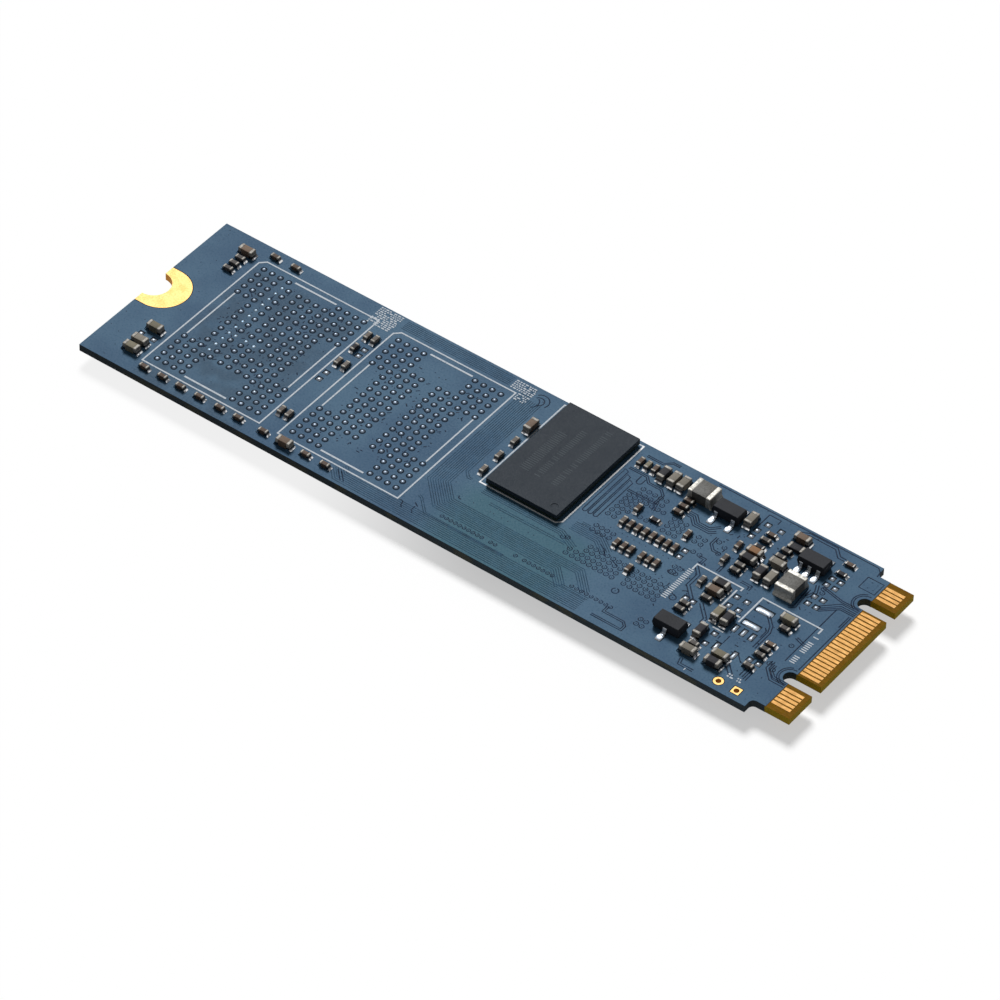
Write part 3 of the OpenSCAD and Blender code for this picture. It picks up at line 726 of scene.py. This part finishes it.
def dome_template(radius, height):
    """Cap of a ball, cut and closed at its foot."""
    ball_r = (radius ** 2 + height ** 2) / (2 * height)
    deselect()
    bpy.ops.mesh.primitive_uv_sphere_add(segments=12, ring_count=14, radius=ball_r)
    dome = bpy.context.object
    with editing(dome):
        take_all()
        cut = (0, 0, ball_r - height)
        bpy.ops.mesh.bisect(plane_co=cut, plane_no=(0, 0, 1), use_fill=True, clear_inner=True)
        take_all()
        bpy.ops.transform.translate(value=(0, 0, height - ball_r))
    smooth(dome, 50)
    return dome


def bump_field(node, finish, draw):
    """Solder domes of a bare flash site, none quite like the next."""
    dome = dome_template(DOME_R, DOME_H)
    bumps = []
    for low, high in solids(node):
        middle = (low + high) / 2
        width = high.x - low.x
        small = width < DOME_R * 1.5
        swell = draw.uniform(0.93, 1.0) * (SMALL_SWELL if small else 1.0) * width / (2 * DOME_R)
        lift = draw.uniform(0.82, 1.0) * (high.z - low.z) / DOME_H
        matrix = put(middle.x, middle.y, low.z, draw.uniform(0, 6.28), False, (swell, swell, lift))
        bumps.append(placed_copy(dome, matrix, (float(small),) * 3))
    retire(dome)
    return piece(node.replace("bumps", "solder_domes"), bumps, finish, [node])


def ball_template(width, height):
    """Solder ball pressed flat at both ends."""
    deselect()
    bpy.ops.mesh.primitive_uv_sphere_add(segments=12, ring_count=8, radius=width / 2)
    ball = bpy.context.object
    with editing(ball):
        for side in (1, -1):
            take_all()
            cut = (0, 0, side * height / 2)
            bpy.ops.mesh.bisect(plane_co=cut, plane_no=(0, 0, side), use_fill=True, clear_outer=True)
    smooth(ball, 50)
    return ball


def ball_field(node, finish):
    """Ball grid between a package and the card."""
    boxes = solids(node)
    size = boxes[0][1] - boxes[0][0]
    ball = ball_template(size.x, size.z)
    balls = []
    for low, high in boxes:
        middle = (low + high) / 2
        balls.append(placed_copy(ball, put(middle.x, middle.y, middle.z)))
    retire(ball)
    return piece(node.replace("balls", "ball_grid"), balls, finish, [node])


def pillow_template():
    """Unit pad of solder that has flowed out to a cushion, its foot at z = 0."""
    pad = block((1, 1, 1), (0, 0, 0.5))
    with editing(pad):
        pick(pad, "edges", lambda edge: all(v.co.z < 0.1 for v in edge.verts))
        bpy.ops.transform.edge_crease(value=1.0)
        pick(pad, "edges", lambda edge: abs(edge.verts[0].co.z - edge.verts[1].co.z) > 0.5)
        bpy.ops.transform.edge_crease(value=0.3)
        pick(pad, "verts", lambda vert: vert.co.z > 0.5)
        resize((0.45, 0.45, 1))
    apply_modifier(pad, "SUBSURF", levels=3, render_levels=3)
    low = Vector(min(v.co[k] for v in pad.data.vertices) for k in range(3))
    high = Vector(max(v.co[k] for v in pad.data.vertices) for k in range(3))
    size = high - low
    to_unit = Matrix.Diagonal((1 / size.x, 1 / size.y, 1 / size.z, 1))
    pad.data.transform(to_unit @ Matrix.Translation((0, 0, -low.z)))
    smooth(pad, 60)
    return pad


def pads(node, name, finish):
    """Bare tinned pads as solder cushions."""
    pillow = pillow_template()
    parts = []
    for low, high in solids(node):
        size = high - low
        matrix = put((low.x + high.x) / 2, (low.y + high.y) / 2, low.z, 0, False, size)
        parts.append(placed_copy(pillow, matrix))
    retire(pillow)
    return piece(name, parts, finish, [node])


# Pieces that keep the form of their solid, with softened edges

def softened(node, name, width, segments, finish, smooth_at=35):
    """The CAD solid merged, its flats made whole, its edges rounded."""
    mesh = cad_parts[node].data.copy()
    mesh.transform(Matrix.Scale(1 / MM, 4))
    made = added(name, mesh)
    with editing(made):
        take_all()
        bpy.ops.mesh.remove_doubles(threshold=0.0005)
        bpy.ops.mesh.dissolve_limited(angle_limit=math.radians(0.6))
    apply_modifier(
        made, "BEVEL", width=width, segments=segments, limit_method="ANGLE",
        angle_limit=math.radians(30), use_clamp_overlap=True,
    )
    made.data.transform(Matrix.Scale(MM, 4))
    smooth(made, smooth_at)
    apply_modifier(made, "WEIGHTED_NORMAL", weight=100, keep_sharp=True)
    return piece(name, [made], finish, [node])


# Lines under the mask

def offset_line(points, shift):
    """A line beside another, its corners mitred."""
    points = [Vector(p) for p in points]
    moved = []
    for k, point in enumerate(points):
        before = (point - points[k - 1]).normalized() if k else (points[1] - point).normalized()
        after = (points[k + 1] - point).normalized() if k + 1 < len(points) else before
        normal = Vector((-before.y - after.y, before.x + after.x)).normalized()
        stretch = 1 / max(0.35, normal.dot(Vector((-before.y, before.x))))
        moved.append(point + normal * shift * stretch)
    return moved


def bundles(table):
    """Lines side by side: how many, their pitch, and the route that they are centred on."""
    lines = []
    for count, pitch, *route in table:
        lines += [offset_line(route, (k - (count - 1) / 2) * pitch) for k in range(count)]
    return lines


def arc(x, y, r, start, end, steps=8):
    """Points along a circle, angles in degrees."""
    turns = [math.radians(start + (end - start) * k / steps) for k in range(steps + 1)]
    return [(x + r * math.cos(t), y + r * math.sin(t)) for t in turns]


def ribbon_profile(width):
    """Flat hump that a line has in section."""
    half = width / 2 * MM
    rise = GAP_RISE * MM
    curve = bpy.data.curves.new("line_section", "CURVE")
    spline = curve.splines.new("POLY")
    section = [(-half, 0), (half, 0), (half * 0.6, rise), (-half * 0.6, rise)]
    spline.points.add(len(section) - 1)
    for point, (x, y) in zip(spline.points, section):
        point.co = (x, y, 0, 1)
    spline.use_cyclic_u = True
    return added("line_section", curve)


def ribbons(name, lines, width, finish, flip=False, rings=()):
    """Lines and rings as one thin relief on the card's top or, with flip, its underside."""
    curve = bpy.data.curves.new(name, "CURVE")
    curve.dimensions = "3D"
    curve.twist_mode = "Z_UP"
    for closed, points in [(False, line) for line in lines] + [(True, ring) for ring in rings]:
        spline = curve.splines.new("POLY")
        spline.points.add(len(points) - 1)
        for point, place in zip(spline.points, points):
            point.co = (place[0] * MM, place[1] * MM, 0, 1)
        spline.use_cyclic_u = closed
    section = ribbon_profile(width)
    curve.bevel_mode = "OBJECT"
    curve.bevel_object = section
    curve.use_fill_caps = True
    make_active(added(name, curve))
    bpy.ops.object.convert(target="MESH")
    made = bpy.context.object
    face_up(made)
    lift = Matrix.Translation((0, 0, (CARD_UNDER if flip else CARD_TOP) * MM))
    turned = Matrix.Diagonal((1, 1, -1, 1)) if flip else Matrix.Identity(4)
    made.data.transform(lift @ turned)
    if flip:
        made.data.flip_normals()
    retire(section)
    return piece(name, [made], finish)


def face_up(made):
    """Brings the relief to stand on z = 0, with faces outwards."""
    lowest = min(v.co.z for v in made.data.vertices)
    made.data.transform(Matrix.Translation((0, 0, -lowest)))
    with editing(made):
        take_all()
        bpy.ops.mesh.normals_make_consistent(inside=False)


def ring(x, y, r, steps=12):
    return arc(x, y, r, 0, 360 - 360 / steps, steps - 1)


def open_ring(x, y, r, draw):
    """A via's gap, drawn dark as painted shade: a ring left a little open on its far side, where the
    lamp lights it, never quite the same.
    """
    start = draw.uniform(140, 170)
    return arc(x, y, r, start, start + draw.uniform(310, 345), 12)


def discs(name, places, radius, finish):
    """Middles of vias and small filled vias, as low discs on the mask."""
    deselect()
    bpy.ops.mesh.primitive_cylinder_add(vertices=10, radius=radius, depth=GAP_RISE, location=(0, 0, 0))
    disc = bpy.context.object
    parts = [placed_copy(disc, put(x, y, CARD_TOP + GAP_RISE / 2)) for x, y in places]
    retire(disc)
    return piece(name, parts, finish)


def grids(*fields):
    """Places of every field, each with its xs and its ys."""
    return [(x, y) for xs, ys in fields for y in ys for x in xs]


def spaced(start, stop, step):
    count = int(round((stop - start) / step)) + 1
    return [start + k * step for k in range(count)]


# Places in mm of vias with a gap round them, of those in the row near the long edge, and of dots
TOP_VIAS = grids(
    (spaced(12.9, 15.5, 0.65), (5.9, 5.2)), (spaced(12.3, 16.1, 0.64), (4.5,)),
    ((12.3, 12.9, 13.5), (3.9, 3.3, 2.6)), ((14.8, 15.5), (2.7,)),
    ((17.4, 18.05, 18.7), (4.5, 3.9, 3.3, 2.6)),
    (spaced(13.55, 17.35, 0.63), (-3.2, -3.85, -4.55, -5.2)), ((12.2, 12.9), (-4.55, -5.2)),
    (spaced(18.65, 22.0, 0.66), (-3.2, -3.85, -4.55, -5.2)),
    ((12.3, 12.9, 13.5, 14.2), (-0.6, -1.25)), ((12.2, 12.9), (1.95, 1.3)),
    ((20.5, 21.2), (3.9, 3.2)), ((21.2, 21.9), (2.05,)), ((21.0, 21.6), (-0.55, -1.3)),
) + [
    (10.8, -3.7), (11.2, -3.5), (23.15, 4.2), (23.15, 3.2), (22.35, 4.5), (34.7, -5.3), (35.4, -5.8),
    (35.0, -2.3), (22.5, -8.6), (23.1, -8.6), (22.5, -7.9), (23.1, -7.9), (33.2, 5.4), (33.4, 4.9),
]
ROW_VIAS = [
    (x, ROW_VIA_Y)
    for x in spaced(0.6, 5.1, 0.5) + [6.1, 6.6, 8.9] + spaced(9.9, 13.1, 0.52) + spaced(15.2, 19.5, 0.54)
]
DOTS = grids(
    ((13.5, 14.8, 15.4, 16.1, 16.75, 17.4, 18.7, 19.35, 19.95), (-0.05,)),
    ((1.8, 3.7, 4.1, 5.0, 5.7, 8.0, 8.6), (-5.2,)), ((36.2, 36.8), (8.0, 8.8)),
    ((13.5, 14.2, 16.1, 16.8), (2.55,)), ((25.8, 26.3), (1.6,)), ((27.9, 28.4), (1.5,)),
) + [
    (18.6, -6.4), (23.15, -3.9), (21.2, -1.25), (33.4, 2.2), (33.9, 2.2), (-1.1, -4.0),
    (-1.25, 9.6), (-39.1, 10.4), (-38.8, 9.8), (-37.4, 6.2), (-38.4, 5.1), (-39.5, -4.7),
    (-37.4, -4.5), (-39.5, -6.9), (-38.3, -7.3), (-37.4, -8.9), (-37.4, -10.5), (-35.9, 1.7),
    (-33.4, 0.2), (-28.1, -6.0), (-27.1, -7.4), (-21.5, 2.4), (-35.6, -1.4), (-20.7, 6.7),
    (23.5, 10.6), (26.1, 10.5), (29.2, 10.4), (20.9, 9.5), (18.6, 6.6), (26.2, -3.4),
    (30.8, -4.4), (31.0, -5.0), (36.0, -9.0),
]
UNDERSIDE_VIAS = grids(
    (spaced(-1.6, 9.0, 0.9), (7.4, -3.6)), (spaced(0.2, 8.2, 0.8), (2.2, 1.5)),
    (spaced(25.6, 34.4, 0.8), (0.4, -0.4)),
    (spaced(-36.8, -35.0, 0.9), (-8.0, -6.4, -4.8, 4.8, 6.4, 8.0)),
)

# Fields in mm where copper and vias show here and there through the mask: x, x, y, y, how many of each
BUSY = ((-32.5, -21.5, -5.4, 7.6, 90), (-16.0, -5.5, -6.5, 6.6, 80), (20.2, 35.2, -8.0, 8.0, 60))

# Runs of traces in mm: how many gaps, their pitch, and the route that they are centred on
TOP_BUNDLES = (
    (5, 0.22, (-1.95, 9.0), (-1.95, -4.48), (-0.09, -6.34), (14.65, -6.34), (16.6, -8.3)),
    (5, 0.23, (-3.05, 10.6), (-3.05, -4.95), (-0.62, -7.42), (12.7, -7.42), (14.35, -9.05)),
    (2, 0.22, (-1.2, 9.0), (-1.2, -2.2), (-0.6, -2.8), (-0.2, -2.8)),
    (4, 0.22, (1.5, -3.3), (10.3, -3.3), (12.4, -4.3)),
    (2, 0.24, (3.0, -4.35), (11.5, -4.35)),
    (2, 0.22, (14.3, -8.8), (17.3, -8.8)),
    (8, 0.23, (-10.7, -9.0), (-9.9, -9.85), (17.2, -9.85)),
    (2, 0.2, (-2.7, -7.45), (-2.35, -7.55), (-0.9, -9.0), (8.0, -9.05)),
    (6, 0.22, (10.6, -1.9), (13.6, -1.9), (15.1, -3.0)),
    (2, 0.2, (11.1, -1.1), (12.0, -1.1)),
    (6, 0.22, (-17.8, 10.1), (-5.2, 10.1)),
)

UNDERSIDE_BUNDLES = (
    (8, 0.24, (-2.6, 9.6), (-2.6, -8.2), (-0.4, -9.6), (9.6, -9.6)),
    (6, 0.24, (-19.0, 10.3), (9.8, 10.3), (11.6, 8.9)),
    (4, 0.3, (24.0, 9.4), (29.5, 9.4), (31.2, 7.7), (37.0, 7.7)),
    (8, 0.25, (23.6, 6.6), (28.6, 6.6), (32.0, 3.2), (37.0, 3.2)),
    (8, 0.25, (23.6, -6.4), (29.0, -6.4), (32.4, -3.0), (37.0, -3.0)),
)

# Single traces, as the two gaps beside each: how far apart, and the route of the trace
TRACES = (
    (0.2, (10.2, 7.45), (12.2, 7.45), (12.8, 6.85), (14.2, 6.85), (14.8, 6.3), (14.8, 4.9)),
    (0.22, (11.8, 4.95), (15.0, 4.95), (15.2, 4.1)),
    (0.24, (18.0, 6.1), (18.7, 6.1), (19.4, 5.4), (20.6, 5.4), (21.4, 6.2)),
    (0.24, (18.0, 5.65), (18.5, 5.65), (19.2, 4.95), (20.9, 4.95), (21.4, 5.4)),
    (0.2, (19.3, -8.4), (19.3, -9.15), (21.5, -9.15), (21.9, -9.55), (21.9, -10.1), (18.6, -10.1)),
    (0.2, (10.6, 9.75), (12.4, 9.75), (13.1, 10.4), (13.9, 10.4)),
    (0.3, (22.5, 0.75), (23.3, -0.1), (23.3, -1.7), (24.7, -3.1)),
    (0.3, (25.6, -2.9), (27.0, -4.3), (27.0, -5.0)),
    (0.28, (27.5, 10.1), (28.2, 10.45), (31.2, 10.45), (32.0, 9.65), (32.7, 9.65)),
    (0.26, (34.0, 3.1), (35.6, 4.7), (37.35, 4.7)),
    (0.2, (34.3, 2.85), (35.8, 4.25), (37.35, 4.25)),
    (0.2, (33.0, 5.6), (35.4, 5.1), (37.35, 5.15)),
    (0.26, (34.9, -4.9), (34.9, -5.9), (35.9, -6.9), (37.35, -6.9)),
    (0.2, (35.3, -5.2), (35.3, -5.9), (36.0, -6.5), (37.35, -6.5)),
    (0.26, (31.2, -0.4), (32.2, -1.4), (32.5, -2.2), (32.5, -4.6)),
    (0.34, (31.3, -7.2), (33.0, -8.8)),
    (0.3, (33.6, -7.1), (33.6, -8.2)),
    (0.26, (34.1, -7.1), (34.1, -8.4)),
    (0.24, (28.2, -9.6), (28.4, -10.3), (29.9, -10.3)),
    (0.22, (21.9, 4.9), (21.9, 3.9), (22.5, 3.3), (23.3, 3.3)),
    (0.22, (22.0, 1.9), (22.6, 1.9), (22.6, 1.1)),
    (0.24, (24.4, 2.4), (24.4, 1.3)),
    (0.22, (26.8, 1.6), (27.9, 1.6), (27.9, 1.05)),
    (0.24, (32.2, 4.6), (32.4, 2.0), (31.9, 1.6)),
    (0.26, (32.5, 5.5), (32.9, 4.6), (32.5, 3.6)),
    (0.24, (34.8, -1.2), (36.0, -1.6)),
)

# Single gaps round areas of copper, and bows: centre, radius, first and last angle, steps
BORDERS = (
    ((18.0, 10.72), (35.6, 10.72), (36.0, 10.35), (36.1, 9.7)),
    ((23.9, 10.3), (25.2, 10.3), (25.2, 9.7)), ((23.9, 10.3), (23.9, 8.3)),
    ((35.5, 9.2), (37.2, 9.2), (37.2, 7.6), (35.5, 7.6), (35.5, 9.2)),
    ((37.2, 3.9), (37.2, -4.4)), ((35.6, 4.0), (35.6, -4.2)), ((37.0, 3.9), (37.0, 2.2)),
    ((-10.6, -9.35), (-9.6, -10.35)), ((-10.2, -9.35), (-9.2, -10.35)), ((-2.4, -8.45), (-1.9, -8.75)),
    ((-3.7, -8.95), (-3.35, -9.05), (-3.25, -9.5), (-3.0, -9.75)),
    ((-2.1, -8.85), (-2.1, -9.4), (-1.8, -9.75)), ((14.1, -2.4), (14.8, -2.75), (15.2, -3.4)),
    ((16.1, -3.4), (16.9, -3.75)), ((29.3, -5.9), (30.0, -5.9), (30.0, -4.7)),
    ((31.9, -6.1), (32.6, -6.8), (33.0, -6.8)), ((31.9, -1.9), (32.2, -2.2), (32.2, -3.2)),
)
BOWS = (
    (37.2, 6.125, 1.05, 90, 270), (37.2, 6.125, 1.25, 110, 250), (37.2, -5.625, 1.05, 90, 270),
    (37.2, -5.625, 1.25, 110, 250), (18.6, -6.4, 0.34, 120, 450, 12), (23.15, -3.9, 0.32, 140, 470, 12),
    (21.2, -1.25, 0.32, 150, 480, 12), (0.5, -5.3, 0.25, 160, 300), (-1.6, 9.4, 0.55, 150, -60),
    (-1.5, 9.5, 0.9, 140, -30), (-2.2, 9.0, 0.8, 60, -60),
)


def loops():
    """Matched-length loops beside the memory: three hairpins and a hook."""
    lines = []
    for k, x in enumerate((9.95, 10.55, 11.15)):
        top = 6.9 - 0.5 * k
        rise = [(x + 0.52, top), (x + 0.08, top + 0.2), (x + 0.08, 0.45)]
        lines.append(arc(x + 0.3, 0.45, 0.22, 180, 360) + rise)
    return lines + [[(11.75, 7.2)] + arc(12.05, 6.45, 0.3, 180, 360) + [(12.35, 7.0)]]


def scatter_lines(draw):
    """Short gaps strewn between the bumps and over the busy end, as inner copper shows through."""
    lines = []
    for x0, x1, y0, y1, count in BUSY:
        for _ in range(count):
            x = draw.uniform(x0, x1)
            y = draw.uniform(y0, y1)
            turn = math.radians(draw.choice((0, 45, 90, 135)))
            reach = draw.uniform(0.08, 0.22)
            along = Vector((math.cos(turn), math.sin(turn))) * reach
            lines.append([(x - along.x, y - along.y), (x + along.x, y + along.y)])
    return lines


# Print

def bar_template():
    """Unit stroke of print with rounded corners."""
    bar = block((1, 1, 1), (0, 0, 0.5))
    soften(bar, lambda edge: abs(edge.verts[0].co.z - edge.verts[1].co.z) > 0.5, 0.22, 2)
    return bar


def stroke_rows(x0, y0, x1, y1, draw, row=PRINT_ROW, stroke=PRINT_STROKE):
    """Rows of plain strokes of mixed length in a field: place and size of each."""
    strokes = []
    y = y0 + row / 2
    while y < y1:
        x = x0
        while x < x1 - PRINT_GAP:
            length = min(draw.choice(PRINT_LENGTHS), x1 - x)
            if draw.random() > LEFT_OUT:
                strokes.append((x + length / 2, y, length, stroke))
            x += length + PRINT_GAP
        y += row
    return strokes


def ladder(x, y0, y1, reach, draw):
    """A column of plain cross strokes, some left out: place and size of each."""
    return [(x, y, reach, RUNG_W) for y in spaced(y0, y1, RUNG_PITCH) if draw.random() > LEFT_OUT]


def print_strokes(draw):
    """Plain strokes where a card carries small print."""
    strokes = stroke_rows(-21.0, 8.25, -18.35, 10.85, draw)
    strokes += stroke_rows(-4.95, 9.35, -2.45, 10.75, draw)
    strokes += stroke_rows(-3.75, 8.2, -2.45, 9.3, draw)
    strokes += ladder(22.42, -4.3, -0.1, 0.58, draw) + ladder(36.18, -3.95, -0.3, 0.58, draw)
    return strokes + stroke_rows(32.6, -9.05, 34.1, -8.5, draw, 0.3, 0.17)


def etch_strokes(draw):
    """Plain strokes where the memory carries its laser marks."""
    strokes = ladder(3.2, 0.6, 6.6, 1.05, draw)
    return strokes + ladder(4.7, 0.6, 8.0, 0.7, draw) + ladder(6.6, 0.6, 9.6, 0.7, draw)


def printed(name, strokes, z, thickness, finish):
    """Strokes as one piece that stands on z."""
    bar = bar_template()
    parts = []
    for x, y, length, width in strokes:
        parts.append(placed_copy(bar, put(x, y, z, 0, False, (length, width, thickness))))
    retire(bar)
    return piece(name, parts, finish)


# Stage

def stage_floor():
    """Floor that is white to the eye and in reflections, keeps the shadow, faded towards the screw end
    by painted light, and is clear from below.
    """
    deselect()
    bpy.ops.mesh.primitive_plane_add(size=FLOOR_SPAN)
    floor = bpy.context.object
    floor.name = "floor"
    with editing(floor):
        take_all()
        bpy.ops.transform.translate(value=(0, 0, -FLOOR_GAP * MM))
    m = Finish("pale_floor")
    shaded = m.between(m.axes(m.place())[0], FADE_TO, FADE_FROM, FAINT_SHADOW, 1.0) * FLOOR_GREY
    diffuse = m.node("ShaderNodeBsdfDiffuse", None, {"Color": shaded})
    glow = m.node("ShaderNodeEmission", None, {"Color": WHITE, "Strength": m.seen() * (1 - shaded)})
    lit = m.node("ShaderNodeAddShader", None, {0: diffuse, 1: glow})
    clear = m.node("ShaderNodeBsdfTransparent")
    below = m.node("ShaderNodeNewGeometry", output="Backfacing")
    both = m.node("ShaderNodeMixShader", None, {0: below, 1: lit, 2: clear})
    m.node("ShaderNodeOutputMaterial", None, {"Surface": both})
    floor.data.materials.append(m.owner)


def stage_world():
    """White to the eye and in reflections, soft and dim as light."""
    world = bpy.data.worlds.new("studio")
    bpy.context.scene.world = world
    m = Finish("studio", world)
    strength = m.seen() * (1 - AMBIENT) + AMBIENT
    sky = m.node("ShaderNodeBackground", None, {"Color": WHITE, "Strength": strength})
    m.node("ShaderNodeOutputWorld", None, {"Surface": sky})


def stage_lamp():
    data = bpy.data.lights.new("key_lamp", "SUN")
    data.angle = math.radians(LAMP_ANGLE)
    data.energy = LAMP_STRENGTH
    lamp = added("key_lamp", data)
    lamp.rotation_euler = LAMP_DIRECTION.to_track_quat("Z", "Y").to_euler()


def stage_camera():
    azimuth = math.radians(AZIMUTH)
    elevation = math.radians(ELEVATION)
    roll = math.radians(ROLL)
    ahead = Vector((-math.sin(azimuth), math.cos(azimuth), 0)) * math.cos(elevation)
    forward = ahead - Vector((0, 0, math.sin(elevation)))
    level = forward.cross(Vector((0, 0, 1))).normalized()
    upright = level.cross(forward)
    right = level * math.cos(roll) + upright * math.sin(roll)
    up = upright * math.cos(roll) - level * math.sin(roll)
    data = bpy.data.cameras.new("camera")
    data.lens = LENS
    data.sensor_width = SENSOR
    data.clip_start = 0.01
    data.clip_end = 20.0
    camera = added("camera", data)
    turn = Matrix((right, up, -forward)).transposed().to_4x4()
    camera.matrix_world = Matrix.Translation((AIM - forward * DISTANCE) * MM) @ turn
    bpy.context.scene.camera = camera


# The object

def paint(node, finish):
    """Gives a kept CAD node its finish."""
    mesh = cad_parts[node].data
    mesh.materials.clear()
    mesh.materials.append(finish)


def dress_card(mask, ink, land_gold, contact_gold):
    paint("board_core", laminate_finish())
    for node in ("top_solder_mask", "bottom_solder_mask"):
        paint(node, mask)
    for node in ("flash_site_outlines", "memory_outline", "bracket_marks"):
        paint(node, ink)
    for node in ("screw_notch_plating", "test_pads"):
        paint(node, land_gold)
    for node in ("contact_fingers_top", "contact_fingers_bottom"):
        paint(node, contact_gold)


def dress_packages(balls):
    memory = mould_finish("memory_epoxy", (0.011, 0.017, 0.025), (0.019, 0.026, 0.035))
    black = mould_finish("package_epoxy", (0.020, 0.021, 0.024), (0.032, 0.033, 0.036))
    carrier = substrate_finish()
    finishes = {"memory": memory, "controller": black, "flash_1": black, "flash_2": black}
    for name, finish in finishes.items():
        softened(name + "_mould", name + "_package", 0.06, 3, finish)
        paint(name + "_substrate", carrier)
        ball_field(name + "_balls", balls)
    lead_black = mould_finish("lead_chip_epoxy", (0.009, 0.010, 0.013), (0.018, 0.020, 0.025))
    bright = solder_finish("bright_tin", (0.190, 0.205, 0.225), (0.105, 0.118, 0.135), 0.24, 0.36)
    cushion = solder_finish("cushion_tin", (0.170, 0.186, 0.208), (0.090, 0.106, 0.126), 0.32, 0.42)
    for name in ("five", "six", "three"):
        softened(name + "_lead_chip_body", name + "_lead_package", 0.045, 2, lead_black)
        softened(name + "_lead_chip_leads", name + "_lead_legs", 0.022, 2, bright)
    softened("crystal_can", "crystal_lid", 0.09, 3, can_finish())
    softened("crystal_base", "crystal_dish", 0.08, 3, base_finish())
    pads("bare_chip_pads", "bare_chip_cushions", cushion)
    pads("bare_site_pads", "bare_site_cushions", cushion)


def dress_chips(draw):
    ceramic = ceramic_finish()
    tin = tin_finish()
    coil = coil_finish()
    templates = {}
    groups = {
        "screw_end_capacitor": "grey", "long_edge_capacitor": "umber", "middle_capacitor": "dun",
        "memory_capacitor": "dun", "far_row_capacitor": "umber", "core_capacitor": "umber",
        "supply_capacitor": "grey", "underside_capacitor": "dun",
    }
    for group, usual in groups.items():
        chip_group(group, usual, (ceramic, tin), templates, draw)
    chip_group("ferrite", "black", (ceramic, tin), templates, draw)
    chip_group("resistor", "black", (ceramic, tin), templates, draw)
    silver = solder_finish("coil_ends", (0.270, 0.262, 0.240), (0.190, 0.186, 0.172), 0.54, 0.62)
    nodes = ("inductor_bodies", "inductor_terminals")
    chip_group("inductor", "grey", (coil, silver), templates, draw, nodes)
    for body, end in templates.values():
        retire(body, end)


def dress_lines(ink, draw):
    # Gaps, via rings and via middles are thin raised lines and discs painted dark: painted shade of the
    # mask's dips.
    fine = gap_shade_finish("fine_gaps_painted_shade", (0.014, 0.040, 0.072))
    dark = gap_shade_finish("gaps_painted_shade", (0.005, 0.014, 0.034))
    rings = [open_ring(x, y, VIA_R, draw) for x, y in TOP_VIAS]
    rings += [open_ring(x, y, ROW_VIA_R, draw) for x, y in ROW_VIAS]
    strewn = []
    for x0, x1, y0, y1, count in BUSY:
        strewn += [(draw.uniform(x0, x1), draw.uniform(y0, y1)) for _ in range(count)]
    singles = bundles((2, *trace) for trace in TRACES) + loops() + list(BORDERS)
    gaps = singles + [arc(*bow) for bow in BOWS] + scatter_lines(draw)
    ribbons("top_trace_bundles", bundles(TOP_BUNDLES), FINE_GAP_W, fine)
    ribbons("top_traces", gaps, GAP_W, dark)
    ribbons("top_vias", rings, VIA_LINE, dark)
    discs("via_middles", TOP_VIAS + ROW_VIAS + DOTS, VIA_DOT_R, dark)
    discs("strewn_vias", strewn, STREWN_DOT_R, dark)
    ribbons("underside_trace_bundles", bundles(UNDERSIDE_BUNDLES), FINE_GAP_W, fine, True)
    below = [ring(x, y, VIA_R) for x, y in UNDERSIDE_VIAS]
    ribbons("underside_vias", [], VIA_LINE, dark, True, below)
    printed("small_print", print_strokes(draw), CARD_TOP, PRINT_T, ink)
    marks = etch_strokes(draw)
    printed("memory_laser_marks", marks, MEMORY_TOP - MARK_SINK, MARK_T, etch_finish())


def build():
    draw = random.Random(22)
    deselect()
    stage_camera()
    stage_world()
    stage_lamp()
    stage_floor()
    ink = ink_finish()
    dark_solder = dome_finish()
    ball_solder = solder_finish("ball_solder", (0.60, 0.61, 0.62), (0.42, 0.43, 0.44), 0.3, 0.45)
    dress_card(mask_finish(), ink, land_gold_finish(), contact_gold_finish())
    dress_packages(ball_solder)
    for node in ("flash_site_1_bumps", "flash_site_2_bumps"):
        bump_field(node, dark_solder, draw)
    dress_chips(draw)
    dress_lines(ink, draw)
    deselect()
    bpy.context.scene.view_settings.view_transform = "Standard"


build()
